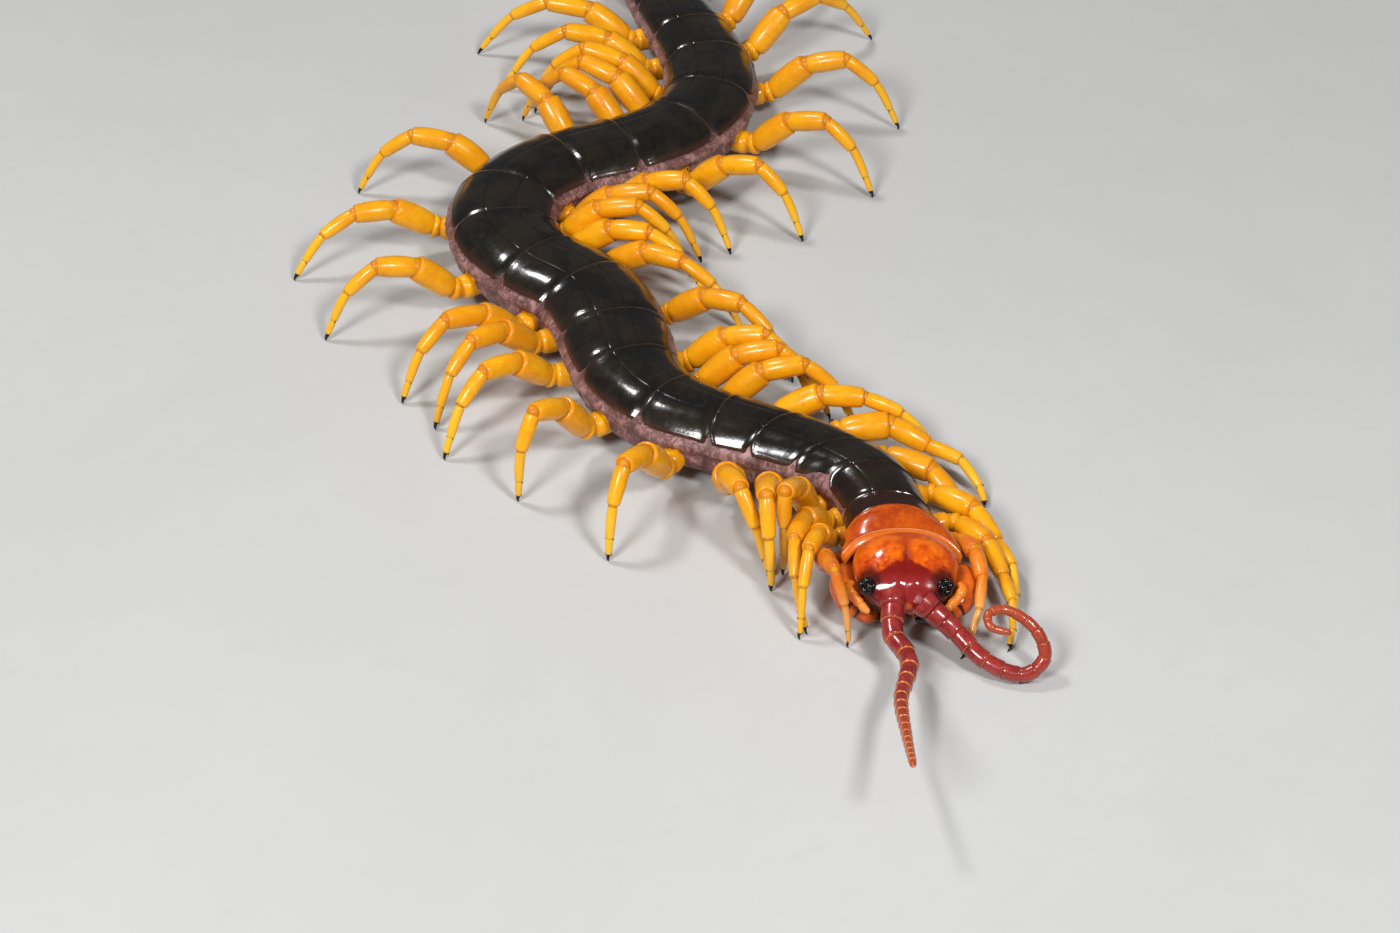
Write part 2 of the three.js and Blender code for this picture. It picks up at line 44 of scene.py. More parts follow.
# Middle of the footprint, moved to the origin
CENTRE = (0.55, 32.12)
SEGMENTS = 21

# Trunk
SEGMENT_LENGTH = [3.9, 2.4, 5.7, 5.0, 7.1, 6.2, 7.4, 8.2, 7.4, 8.8, 7.4, 9.0, 7.6, 9.2, 7.8,
                  9.2, 7.8, 9.0, 7.4, 8.2, 7.0]
SEGMENT_WIDTH = [11.2, 9.7, 9.4, 9.4, 9.6, 10.0, 10.9, 12.2, 13.2, 13.7, 13.8, 13.7, 13.4,
                 13.2, 13.1, 12.9, 12.6, 12.1, 11.4, 10.6, 9.7]
SEGMENT_TOP = [8.8, 8.6, 8.7, 8.8, 9.0, 9.1, 9.2, 9.3, 9.4, 9.5, 9.5, 9.5, 9.5, 9.5, 9.4,
               9.3, 9.2, 9.0, 8.8, 8.4, 7.8]
SEGMENT_HEADING = [-6, 1, -7, -37, -48, -55, -50, -21, 2, -9, -42, -21, 18, 57, 80, 68, 38,
                   8, -6, -8, -4]
SPINE_START = (16.4, -25.6)
FRONT_WIDTH = 12.6
FRONT_HEADING = 12
# Headings of the rear edges of the first back plates
PLATE_TURN = [12, 9, 11, 6, -10, -31]
SPINE_STEP = 0.1
BELLY_HEIGHT = 1.5
TRUNK_NODES = ["trunk_01", "trunk_02_04", "trunk_05_07", "trunk_08_10", "trunk_11_13",
               "trunk_14_16", "trunk_17_19", "trunk_20_21"]
SPIRACLE_SEGMENTS = (3, 5, 8, 10, 12, 14, 16, 18, 20)
# Share of the height at which a back plate ends, and furrows as shares of the half width
PLATE_FOOT = 0.54
PLATE_FURROW = 0.31
# Red-brown tinge of the second and third back plates
PLATE_TONE = {2: 0.6, 3: 0.2}
BELLY_FURROW = 0.42

# Legs
LEG_ARTICLES = [5.4, 4.8, 4.5, 3.8, 1.9, 1.0]
LEG_DIAMETERS = [(2.8, 2.7), (2.4, 2.0), (1.75, 1.4), (1.2, 1.0), (0.9, 0.72), (0.56, 0.44)]
LEG_ROOT_HEIGHT = 3.7
LEG_ROOT_OFFSET = 0.9
OWN_ROOT_OFFSET = {
    "left": {1: 0.4, 2: 2.2, 3: 1.6, 4: 1.5, 5: 2.1, 6: 1.4, 12: 0.3, 13: 0.3, 14: 0.3, 15: 0.3},
    "right": {1: 1.7, 3: 0.55, 4: 0.6, 16: 0.3, 17: 0.3, 18: 0.3},
}
FRONT_LEG_PLACES = [2.45, 5.9, 9.95, 15.3]
COXA_DIAMETER = 2.7
TROCHANTER_LENGTH = 1.1
STUB_DEPTH = 3.2
LEG_DROP = [-45, -68, -72, -80]
FEMUR_DROP = 30
LEG_CURL = -20
OWN_LEG_CURL = {"right": [-95, -16, -84, -46, -51, -86], "left": [-77, -60, -76, -95, -95, -21]}
# How far the short root article follows the leg's swing and rise
ROOT_SWING_SHARE = 0.55
ROOT_RISE_SHARE = 0.45
# Size of the small first legs and how it grows from pair to pair
FIRST_LEG_SCALE = 0.85
FRONT_LEG_GROWTH = 0.05
REAR_LEG_GROWTH = 0.035
FIRST_LEG_THICKNESS = 0.68
THICKNESS_GROWTH = 0.08
LEG_SWING = {
    "right": [-68, -58, -34, -10, -16, -23, 4, -12, -28, -20, 24, 20, -20, -38, -20, -18, 4,
              22, 28, 34],
    "left": [-84, -68, -64, -79, -59, -67, -60, -34, -22, -46, -76, -46, -2, 37, 54, 36, 8,
             -8, 18, 34],
}
LEG_LIFT = {
    "right": [49, 45, 39, 61, 53, 49, 50, 54, 42, 42, 42, 42, 34, 40, 44, 44, 44, 44, 40, 36],
    "left": [24, 8, 7, 1, 8, 29, 44, 45, 44, 39, 31, 36, 43, 43, 45, 44, 44, 44, 40, 36],
}
LAST_ARTICLES = [9.2, 7.8, 6.4, 5.0, 3.6, 1.8]
LAST_DIAMETERS = [(3.1, 3.3), (2.9, 2.6), (2.3, 2.0), (1.7, 1.4), (1.2, 0.9), (0.7, 0.5)]
LAST_RISE = [22, 6, -8, -20, -28, -40]
LAST_SPLAY = {"right": 20, "left": 26}
LAST_ROOT = (2.5, 1.0, 4.3)
LAST_ROOT_SETBACK = 0.6
LAST_COXA_RADIUS = 1.4

# Head: forward, half width, top, bottom
HEAD_HEADING = 13.5
HEAD_ORIGIN = (16.75, -25.75)
HEAD_RINGS = [(-0.30, 1.6, 7.9, 5.0), (-0.1, 2.9, 8.1, 4.7), (0.5, 4.3, 8.5, 4.4),
              (1.4, 5.1, 8.8, 4.2), (3.1, 5.55, 8.97, 4.0), (4.9, 5.4, 8.5, 3.9),
              (6.4, 4.9, 7.8, 3.8), (7.5, 4.2, 7.0, 3.8), (8.1, 3.1, 6.3, 3.9),
              (8.5, 2.0, 5.7, 4.1)]
EYE_PLACE = (7.0, 4.1, 6.5)
EYE_AIM = (0.55, 0.6, 0.6)
EYE_RADIUS = 0.44
EYE_PATCH = (0.98, 0.98, 0.30)
EYE_SPOTS = [(0.408, 0.3468), (-0.3672, 0.3876), (0.408, -0.3672), (-0.3876, -0.3672)]
# Poison claws, their stalks and the palps: forward, outward, height, diameter
CHIN_RINGS = [(-1.5, 4.6, 3.5, 1.5), (0.4, 4.1, 3.5, 1.35), (2.4, 3.8, 3.5, 1.3),
              (5.0, 2.9, 3.4, 1.4), (5.8, 2.2, 3.3, 1.7)]
CLAW_ROUTE = [(1.1, 5.5, 3.3, 3.0), (2.0, 5.95, 3.5, 3.4), (3.5, 6.25, 3.5, 3.4),
              (5.0, 5.95, 3.3, 3.1), (6.3, 5.1, 3.0, 2.5), (7.0, 4.0, 2.6, 1.9),
              (7.3, 2.7, 2.3, 1.3), (7.2, 1.1, 2.2, 0.5)]
CLAW_STALK = [(0.6, 4.3, 2.9, 2.6), (1.2, 5.0, 3.0, 2.7), (1.6, 5.5, 3.1, 2.6)]
PALP_ROUTE = [(5.4, 5.7, 5.6, 0.85), (6.1, 5.95, 5.45, 1.1), (6.9, 5.4, 5.0, 1.15),
              (7.6, 4.6, 4.35, 1.0), (8.1, 3.8, 3.75, 0.6)]
ANTENNA_ARTICLES = [1.9, 2.3, 2.6, 2.7, 2.4, 2.2, 2.1, 2.0, 1.9, 1.8, 1.8, 1.7, 1.6, 1.5,
                    1.4, 1.3, 1.2, 1.2]
ANTENNA_PLACES = [0, 0.08, 0.2, 0.4, 0.6, 0.8, 1]
ANTENNA_DIAMETERS = [2.6, 2.25, 2.0, 1.65, 1.35, 1.05, 0.75]
ANTENNA_ROUTE = {
    "right": [(13.3, -34.1, 5.3), (12.6, -37.2, 4.2), (13.2, -39.6, 3.9), (13.1, -42.0, 4.1),
              (11.8, -45.2, 4.7), (10.4, -48.7, 5.6), (9.0, -55.9, 7.8), (7.7, -63.3, 10.3)],
    "left": [(17.2, -35.4, 5.25), (19.5, -37.5, 3.4), (21.3, -40.2, 2.1), (23.8, -42.2, 1.3),
             (25.8, -42.9, 1.4), (27.6, -42.2, 2.7), (27.3, -40.7, 4.5), (26.1, -39.4, 5.7),
             (24.2, -38.2, 6.4), (22.4, -38.5, 6.4), (22.3, -39.7, 5.7), (24.4, -40.4, 5.0)],
}

MARKS = ("along", "across", "tone", "reach")
SIDES = {"left": 1, "right": -1}

EDGES = np.concatenate([[0.0], np.cumsum(SEGMENT_LENGTH)])
MIDDLES = (EDGES[:-1] + EDGES[1:]) / 2
BODY_LENGTH = float(EDGES[-1])
# Slight changes of tone from leg to leg
pick = random.Random(21)


# The spine and what stands on it
def heading(station):
    """Direction of the body at a station, from +Y toward +X."""
    return np.radians(np.interp(station, [0, *MIDDLES], [FRONT_HEADING, *SEGMENT_HEADING]))


def lay_spine():
    """The body's middle line on the floor, in short steps from the head back."""
    count = math.ceil(BODY_LENGTH / SPINE_STEP)
    turn = heading((np.arange(count) + 0.5) * SPINE_STEP)
    x = SPINE_START[0] - CENTRE[0] + np.concatenate([[0], np.cumsum(np.sin(turn))]) * SPINE_STEP
    y = SPINE_START[1] - CENTRE[1] + np.concatenate([[0], np.cumsum(np.cos(turn))]) * SPINE_STEP
    return np.arange(count + 1) * SPINE_STEP, x, y


SPINE_STATIONS, SPINE_X, SPINE_Y = lay_spine()


def body_axes(station):
    """Origin on the floor, direction to the left and direction to the tail."""
    station = np.asarray(station, float)
    turn = heading(station)
    inside = np.clip(station, 0, BODY_LENGTH)
    beyond = (station - inside)[..., None]
    flat = np.zeros_like(station)
    left = np.stack([np.cos(turn), -np.sin(turn), flat], -1)
    tail = np.stack([np.sin(turn), np.cos(turn), flat], -1)
    place = np.stack([np.interp(inside, SPINE_STATIONS, SPINE_X),
                      np.interp(inside, SPINE_STATIONS, SPINE_Y), flat], -1)
    return place + beyond * tail, left, tail


def body_point(station, sideways, height):
    """Points beside the spine: sideways is toward the animal's left."""
    place, left, _ = body_axes(station)
    point = place + left * np.asarray(sideways, float)[..., None]
    point[..., 2] = height
    return point


def plate_point(station, sideways, height):
    """Points of a back plate, whose cross rows turn less than the body does."""
    place, _, _ = body_axes(station)
    known = len(PLATE_TURN)
    edges = [*np.radians(PLATE_TURN), *heading(EDGES[known:])]
    turn = np.interp(station, EDGES, edges)
    left = np.stack([np.cos(turn), -np.sin(turn), np.zeros_like(turn)], -1)
    spread = np.asarray(sideways, float) / np.cos(np.minimum(abs(turn - heading(station)), 0.8))
    point = place + left * spread[..., None]
    point[..., 2] = height
    return point


def head_point(forward, sideways, height):
    """Points in the head's own frame, forward from its back edge."""
    turn = math.radians(-HEAD_HEADING)
    x, y = np.asarray(sideways, float), -np.asarray(forward, float)
    return np.stack([HEAD_ORIGIN[0] - CENTRE[0] + math.cos(turn) * x - math.sin(turn) * y,
                     HEAD_ORIGIN[1] - CENTRE[1] + math.sin(turn) * x + math.cos(turn) * y,
                     np.broadcast_to(np.asarray(height, float), x.shape)], -1)


def head_turn(forward, sideways, height):
    """A direction of the head's own frame."""
    return head_point(forward, sideways, height) - head_point(0.0, 0.0, 0.0)


def through(knots, values, place):
    """A smooth curve through the values, read at place."""
    knots, values = np.asarray(knots, float), np.asarray(values, float)
    steps = np.diff(knots)
    rise = np.diff(values, axis=0) / (steps if values.ndim == 1 else steps[:, None])
    slope = np.concatenate([rise[:1], (rise[1:] + rise[:-1]) / 2, rise[-1:]])
    place = np.clip(np.asarray(place, float), knots[0], knots[-1])
    low = np.clip(np.searchsorted(knots, place, side="right") - 1, 0, len(knots) - 2)
    t = (place - knots[low]) / steps[low]
    h = steps[low]
    if values.ndim > 1:
        t, h = t[..., None], h[..., None]
    return ((2 * t**3 - 3 * t**2 + 1) * values[low] + (t**3 - 2 * t**2 + t) * h * slope[low]
            + (3 * t**2 - 2 * t**3) * values[low + 1] + (t**3 - t**2) * h * slope[low + 1])


def unit(v):
    return v / np.maximum(np.linalg.norm(v, axis=-1, keepdims=True), 1e-9)


def soft_step(low, high, x):
    t = np.clip((np.asarray(x, float) - low) / (high - low), 0, 1)
    return t * t * (3 - 2 * t)


def ridge(x, middle, width):
    """A rounded ridge of height one."""
    return np.exp(-((x - middle) / width) ** 2)


def squeezed(count, power):
    """Places from -1 to 1 that stand closer together toward both ends."""
    s = np.linspace(-1, 1, count)
    return np.sign(s) * (1 - (1 - np.abs(s)) ** power)


# Meshes
def there_and_back(rows):
    """Rows that run to the far side and return."""
    return np.concatenate([rows, rows[:, ::-1]], 1)


def link(thing):
    bpy.context.scene.collection.objects.link(thing)
    return thing


class Shape:
    """Closed forms in millimetres, with the marks that the finishes read."""

    def __init__(self):
        self.points, self.faces, self.paint = [], [], []
        self.marks = {name: [] for name in MARKS}
        self.count = 0

    def grid(self, rows, paint=0, capped=True, **marks):
        """Rings of points joined to a skin, with closed ends when capped."""
        rows = np.asarray(rows, float)
        count, around = rows.shape[:2]
        points, base = rows.reshape(-1, 3), self.count
        end = base + len(points)
        faces = []
        for at in range(base, end - around, around):
            for c in range(around):
                d = (c + 1) % around
                faces.append((at + c, at + d, at + around + d, at + around + c))
        if capped:
            points = np.concatenate([points, [rows[0].mean(0), rows[-1].mean(0)]])
            for c in range(around):
                d = (c + 1) % around
                faces.append((end, base + d, base + c))
                faces.append((end + 1, end - around + c, end - around + d))
        self.points.append(points)
        self.faces.extend(faces)
        self.paint.extend([paint] * len(faces))
        self.count += len(points)
        for name in MARKS:
            value = np.asarray(marks.get(name, 0.0), float)
            value = value[:, None] if value.ndim == 1 else value
            value = np.broadcast_to(value, (count, around)).ravel()
            ends = value[[0, -1]] if capped else []
            self.marks[name].append(np.concatenate([value, ends]))

    def tube(self, path, radii, sides=14, side_axis=None, flatten=1.0, paint=0, **marks):
        """A round form along a path, one radius for each point."""
        path, radii = np.asarray(path, float), np.asarray(radii, float)
        axis = unit(np.gradient(path, axis=0))
        if side_axis is None:
            wide = np.zeros_like(path)
            last = unit(np.cross(axis[0], [0.02, 0.01, 1.0]))
            for i in range(len(path)):
                last = unit(last - axis[i] * np.dot(last, axis[i]))
                wide[i] = last
        else:
            wide = np.broadcast_to(side_axis, path.shape)
            wide = unit(wide - axis * np.sum(wide * axis, 1, keepdims=True))
        high = np.cross(wide, axis)
        angle = 2 * np.pi * (np.arange(sides) + 0.5) / sides
        ring = (path[:, None] + radii[:, None, None]
                * (np.cos(angle)[None, :, None] * wide[:, None]
                   + flatten * np.sin(angle)[None, :, None] * high[:, None]))
        across = np.broadcast_to(np.sin(angle), (len(path), sides))
        self.grid(ring, paint, across=across, **marks)

    def ball(self, centre, size, aim=(0, 0, 1), sides=12, rings=8, paint=0, **marks):
        """An oval with its three half sizes, the last along aim."""
        aim = unit(np.asarray(aim, float))
        side = unit(np.cross(aim, [0.3, 0.2, 1.0] if abs(aim[2]) < 0.9 else [1.0, 0.2, 0.1]))
        other = np.cross(aim, side)
        size = np.broadcast_to(size, 3)
        tilt = np.pi * (np.arange(rings) + 0.5) / rings
        turn = 2 * np.pi * np.arange(sides) / sides
        rows = (np.asarray(centre, float)
                + np.sin(tilt)[:, None, None] * np.cos(turn)[None, :, None] * size[0] * side
                + np.sin(tilt)[:, None, None] * np.sin(turn)[None, :, None] * size[1] * other
                + np.cos(tilt)[:, None, None] * size[2] * aim)
        self.grid(rows, paint, **marks)

    def spine(self, root, tip, radius, paint=0, sides=6):
        """A small pointed spike."""
        t = np.linspace(0, 1, 5)
        self.tube(root + (tip - root) * t[:, None], radius * (1 - t) ** 0.8 + 0.012, sides,
                  paint=paint)

    def make(self, name, finishes, nodes=(), crease=42):
        """Turns the forms into a piece that rides on the body and replaces its nodes."""
        points = np.concatenate(self.points) * MM
        mesh = bpy.data.meshes.new(name)
        mesh.from_pydata(points.tolist(), [], self.faces)
        for finish in finishes:
            mesh.materials.append(finish)
        mesh.polygons.foreach_set("material_index", np.asarray(self.paint, np.int32))
        work = bmesh.new()
        work.from_mesh(mesh)
        bmesh.ops.recalc_face_normals(work, faces=work.faces)
        work.to_mesh(mesh)
        work.free()
        for mark, values in self.marks.items():
            layer = mesh.attributes.new(mark, "FLOAT", "POINT")
            layer.data.foreach_set("value", np.concatenate(values).astype(np.float32))
        mesh.shade_smooth()
        mesh.set_sharp_from_angle(angle=math.radians(crease))
        mesh.update()
        piece = link(bpy.data.objects.new(name, mesh))
        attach(piece, "root")
        if nodes:
            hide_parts(*nodes)


# Finishes
class Bench:
    """Lays out nodes in one tree."""

    def __init__(self, tree):
        self.tree = tree

    def node(self, kind, settings=None, **inputs):
        made = self.tree.nodes.new(kind)
        for name, value in (settings or {}).items():
            setattr(made, name, value)
        for name, value in inputs.items():
            self.feed(made, name.replace("_", " "), value)
        return made

    def feed(self, node, key, value):
        socket = node.inputs[key]
        if isinstance(value, bpy.types.NodeSocket):
            self.tree.links.new(value, socket)
        else:
            socket.default_value = value

    def math(self, how, *values):
        made = self.node("ShaderNodeMath", {"operation": how})
        for number, value in enumerate(values):
            self.feed(made, number, value)
        return made.outputs[0]

    def mix(self, share, under, over):
        made = self.node("ShaderNodeMix", {"data_type": "RGBA"})
        for number, value in ((0, share), (6, under), (7, over)):
            self.feed(made, number, value)
        return made.outputs[2]

    def tint(self, share, amount, under, over):
        """One colour over another, as strong as the share times the amount."""
        return self.mix(self.math("MULTIPLY", share, amount), under, over)

    def carve(self, height, mask, depth):
        return self.math("SUBTRACT", height, self.math("MULTIPLY", mask, depth))

    def span(self, value, low, high, out_low=0.0, out_high=1.0):
        return self.node("ShaderNodeMapRange", {"interpolation_type": "SMOOTHSTEP"}, Value=value,
                         From_Min=low, From_Max=high, To_Min=out_low, To_Max=out_high).outputs[0]

    def mark(self, name):
        return self.node("ShaderNodeAttribute", {"attribute_name": name}).outputs["Fac"]

    def place(self):
        return self.node("ShaderNodeTexCoord").outputs["Object"]

    def noise(self, scale, detail, rough, vector=None, warp=0.0):
        return self.node("ShaderNodeTexNoise", Vector=vector or self.place(), Scale=scale,
                         Detail=detail, Roughness=rough, Distortion=warp).outputs["Fac"]


def group(name, inputs, outputs):
    """An empty node group: a number makes a value input, four numbers a colour input."""
    tree = bpy.data.node_groups.new(name, "ShaderNodeTree")
    for label, value in inputs.items():
        kind = "NodeSocketColor" if isinstance(value, tuple) else "NodeSocketFloat"
        socket = tree.interface.new_socket(label, in_out="INPUT", socket_type=kind)
        socket.default_value = value
    for label in outputs:
        kind = "NodeSocketColor" if label == "Color" else "NodeSocketFloat"
        tree.interface.new_socket(label, in_out="OUTPUT", socket_type=kind)
    start = tree.nodes.new("NodeGroupInput").outputs
    return tree, Bench(tree), start, tree.nodes.new("NodeGroupOutput")


def mottle_group():
    """Soft patches of two colours, with small specks of a third."""
    tree, b, start, end = group(
        "cuticle_mottle",
        {"Ground": (0.5, 0.2, 0, 1), "Patch": (0.7, 0.3, 0, 1), "Speck": (0.2, 0.05, 0, 1),
         "Patch Scale": 300.0, "Speck Scale": 2500.0, "Speck Amount": 0.3}, ["Color"])
    patch = b.span(b.noise(start["Patch Scale"], 4, 0.6, warp=0.4), 0.38, 0.62)
    speck = b.span(b.noise(start["Speck Scale"], 3, 0.6), 0.5, 0.72)
    colour = b.mix(patch, start["Ground"], start["Patch"])
    b.feed(end, "Color", b.tint(speck, start["Speck Amount"], colour, start["Speck"]))
    return tree


def relief_group():
    """Fine pits and long shallow dents of cuticle, and how they change the gloss."""
    tree, b, start, end = group(
        "cuticle_relief",
        {"Pit Scale": 4000.0, "Dent Scale": 700.0, "Pit Share": 0.3, "Low Roughness": 0.15,
         "High Roughness": 0.35}, ["Height", "Roughness"])
    dent = b.noise(start["Dent Scale"], 2, 0.5)
    cell = b.node("ShaderNodeTexVoronoi", {"feature": "F1"}, Vector=b.place(),
                  Scale=start["Pit Scale"])
    pit = b.span(cell.outputs["Distance"], 0.05, 0.45)
    smear = b.noise(b.math("MULTIPLY", start["Dent Scale"], 1.7), 4, 0.65)
    rough = b.node("ShaderNodeMapRange", Value=smear, From_Min=0.3, From_Max=0.7,
                   To_Min=start["Low Roughness"], To_Max=start["High Roughness"])
    b.feed(end, "Height", b.math("MULTIPLY_ADD", pit, start["Pit Share"], dent))
    b.feed(end, "Roughness", rough.outputs[0])
    return tree


def line_group():
    """A soft line where a value passes a place."""
    tree, b, start, end = group("soft_line", {"Value": 0.0, "Place": 0.5, "Width": 0.1}, ["Mask"])
    away = b.math("ABSOLUTE", b.math("SUBTRACT", start["Value"], start["Place"]))
    b.feed(end, "Mask", b.span(b.math("DIVIDE", away, start["Width"]), 0.35, 1.0, 1.0, 0.0))
    return tree


def fold_group():
    """Folds and wrinkles of soft skin."""
    tree, b, start, end = group("skin_folds", {"Scale": 900.0, "Stretch": 0.35},
                                ["Height", "Crease"])
    squeeze = b.node("ShaderNodeCombineXYZ", X=1.0, Y=1.0, Z=start["Stretch"])
    lay = b.node("ShaderNodeVectorMath", {"operation": "MULTIPLY"})
    b.feed(lay, 0, b.place())
    b.feed(lay, 1, squeeze.outputs[0])
    soft = b.noise(start["Scale"], 5, 0.6, lay.outputs[0], 0.8)
    crease = b.span(b.math("ABSOLUTE", b.math("SUBTRACT", soft, 0.5)), 0.0, 0.07, 1.0, 0.0)
    b.feed(end, "Height", b.math("MULTIPLY_ADD", crease, -0.45, soft))
    b.feed(end, "Crease", crease)
    return tree


GROUPS = {"mottle": mottle_group(), "relief": relief_group(), "line": line_group(),
          "folds": fold_group()}


class Finish(Bench):
    """A material with its shader; groups come from the shared set."""

    def __init__(self, name, coat=(0.0, 0.03), **shader):
        self.material = bpy.data.materials.new(name)
        self.material.use_nodes = True
        super().__init__(self.material.node_tree)
        self.tree.nodes.clear()
        shader.update(Coat_Weight=coat[0], Coat_Roughness=coat[1])
        self.shader = self.node("ShaderNodeBsdfPrincipled", **shader)
        self.node("ShaderNodeOutputMaterial", Surface=self.shader.outputs[0])

    def use(self, which, **inputs):
        return self.node("ShaderNodeGroup", {"node_tree": GROUPS[which]}, **inputs).outputs

    def line(self, value, place, width):
        return self.use("line", Value=value, Place=place, Width=width)["Mask"]

    def mottle(self, ground, patch, speck, patch_scale, speck_scale, amount):
        return self.use("mottle", Ground=ground, Patch=patch, Speck=speck,
                        Patch_Scale=patch_scale, Speck_Scale=speck_scale,
                        Speck_Amount=amount)["Color"]

    def relief(self, pit_scale, dent_scale, pit_share, low, high):
        made = self.use("relief", Pit_Scale=pit_scale, Dent_Scale=dent_scale,
                        Pit_Share=pit_share, Low_Roughness=low, High_Roughness=high)
        return made["Height"], made["Roughness"]

    def surface(self, colour, rough, height, strength, depth):
        self.feed(self.shader, "Base Color", colour)
        self.feed(self.shader, "Roughness", rough)
        bump = self.node("ShaderNodeBump", Strength=strength, Distance=depth, Height=height)
        self.feed(self.shader, "Normal", bump.outputs[0])
        return self.material


def rgb(r, g, b):
    return (r, g, b, 1.0)


def glow(weight, scale, *radius):
    """Light that passes through the shell, further in red than in blue."""
    return {"Subsurface_Weight": weight, "Subsurface_Scale": scale, "Subsurface_Radius": radius}


SHELL = {"IOR": 1.46, "Specular_IOR_Level": 0.35}
FINE_DEPTH = 0.00008
COARSE_DEPTH = 0.0001


def plate_lines(f):
    """How far out a point of a plate lies, and the plate's two long furrows."""
    side = f.math("ABSOLUTE", f.mark("across"))
    return side, f.line(side, PLATE_FURROW, 0.03)


def black_plate():
    f = Finish("black_plate", (0.2, 0.08), IOR=1.5)
    side, furrow = plate_lines(f)
    colour = f.mottle(rgb(0.006, 0.005, 0.004), rgb(0.014, 0.010, 0.006),
                      rgb(0.035, 0.022, 0.012), 260, 1500, 0.25)
    colour = f.mix(f.span(side, 0.86, 1.02), colour, rgb(0.045, 0.018, 0.010))
    # Lighter brown along the rear edge: partly the plate's translucent rim, partly a painted
    # highlight line
    colour = f.mix(f.span(f.mark("along"), 0.94, 1.02), colour, rgb(0.055, 0.030, 0.020))
    colour = f.tint(furrow, 0.5, colour, rgb(0.002, 0.002, 0.002))
    colour = f.mix(f.mark("tone"), colour, rgb(0.030, 0.008, 0.004))
    height, rough = f.relief(2600, 420, 0.18, 0.12, 0.25)
    return f.surface(colour, rough, f.carve(height, furrow, 0.8), 0.28, COARSE_DEPTH)


def orange_plate():
    f = Finish("orange_plate", (0.3, 0.07), **SHELL, **glow(0.08, 0.0010, 1.0, 0.3, 0.1))
    side, furrow = plate_lines(f)
    run = f.mark("along")
    colour = f.mottle(rgb(0.36, 0.038, 0.002), rgb(0.48, 0.070, 0.003), rgb(0.60, 0.15, 0.008),
                      330, 1800, 0.45)
    colour = f.mix(f.span(side, 0.80, 0.97), colour, rgb(0.52, 0.10, 0.010))
    colour = f.tint(furrow, 0.08, colour, rgb(0.25, 0.02, 0.004))
    colour = f.tint(f.span(run, 0.18, 0.12), 0.7, colour, rgb(0.66, 0.155, 0.012))
    # Painted highlight: a bright line along the top of the cross ridge near the front
    colour = f.tint(f.line(run, 0.18, 0.030), 0.6, colour, rgb(0.80, 0.32, 0.10))
    colour = f.tint(f.line(run, 0.97, 0.06), 0.55, colour, rgb(0.20, 0.03, 0.008))
    height, rough = f.relief(3000, 600, 0.25, 0.16, 0.32)
    return f.surface(colour, rough, f.carve(height, furrow, 0.1), 0.25, FINE_DEPTH)


def head_plate():
    """The mark along runs forward in millimetres, across sideways in millimetres."""
    f = Finish("head_plate", (0.5, 0.05), **SHELL, **glow(0.08, 0.0010, 1.0, 0.3, 0.1))
    forward, side = f.mark("along"), f.math("ABSOLUTE", f.mark("across"))
    wave = f.math("SUBTRACT", f.noise(900, 4, 0.65), 0.5)
    fine = f.math("SUBTRACT", f.noise(2300, 4, 0.7), 0.5)

    def oval(middle, aside, long, wide, ragged):
        run = f.math("DIVIDE", f.math("SUBTRACT", forward, middle), long)
        out = f.math("DIVIDE", f.math("SUBTRACT", side, aside), wide)
        away = f.math("SQRT", f.math("MULTIPLY_ADD", run, run, f.math("MULTIPLY", out, out)))
        return f.math("MULTIPLY_ADD", wave, ragged, away)

    # Orange lobes with fine veins
    colour = f.mottle(rgb(0.50, 0.050, 0.002), rgb(0.76, 0.135, 0.002), rgb(0.86, 0.25, 0.004),
                      430, 1500, 0.4)
    lobes = f.span(oval(3.3, 2.5, 2.9, 2.5, 1.1), 0.55, 1.2, 1.0, 0.0)
    colour = f.mix(lobes, rgb(0.47, 0.050, 0.003), colour)
    veins = f.math("MULTIPLY", f.span(f.math("MULTIPLY_ADD", fine, 0.7, wave), 0.02, 0.16),
                   f.span(oval(5.4, 3.5, 2.6, 2.2, 0.3), 0.5, 1.2, 1.0, 0.0))
    colour = f.tint(veins, 0.8, colour, rgb(0.26, 0.010, 0.002))
    # Dark-red front, wide between the antennae and pointed toward the back
    shift = f.math("MULTIPLY_ADD", wave, 1.6, forward)
    reach = f.math("MAXIMUM", f.math("SUBTRACT", shift, 5.0), 0.0)
    wide = f.math("MULTIPLY_ADD", reach, 2.4, 0.18)
    inside = f.math("SUBTRACT", f.math("MULTIPLY_ADD", fine, 0.9, side), wide)
    red = f.math("MULTIPLY", f.span(inside, -0.35, 0.75, 1.0, 0.0), f.span(forward, 2.2, 4.6))
    colour = f.tint(red, 0.95, colour, rgb(0.17, 0.004, 0.003))
    colour = f.tint(f.span(forward, 5.9, 7.5), 0.9, colour, rgb(0.27, 0.018, 0.017))
    # Dark round the eyes, lighter side rim, darker back edge
    dark = f.span(oval(6.9, 4.1, 1.9, 1.6, 0.9), 0.62, 1.15, 1.0, 0.0)
    colour = f.tint(dark, 0.88, colour, rgb(0.045, 0.003, 0.002))
    rim = f.math("MULTIPLY", f.span(side, 4.85, 5.4), f.span(forward, 6.2, 4.6))
    colour = f.tint(rim, 0.7, colour, rgb(0.60, 0.13, 0.012))
    colour = f.tint(f.span(forward, 0.9, 0.1), 0.6, colour, rgb(0.26, 0.022, 0.003))
    height, rough = f.relief(2600, 520, 0.2, 0.12, 0.24)
    seam = f.math("MULTIPLY", f.line(side, 0.0, 0.12), f.span(forward, 1.0, 2.0))
    return f.surface(colour, rough, f.carve(height, seam, 0.5), 0.25, FINE_DEPTH)


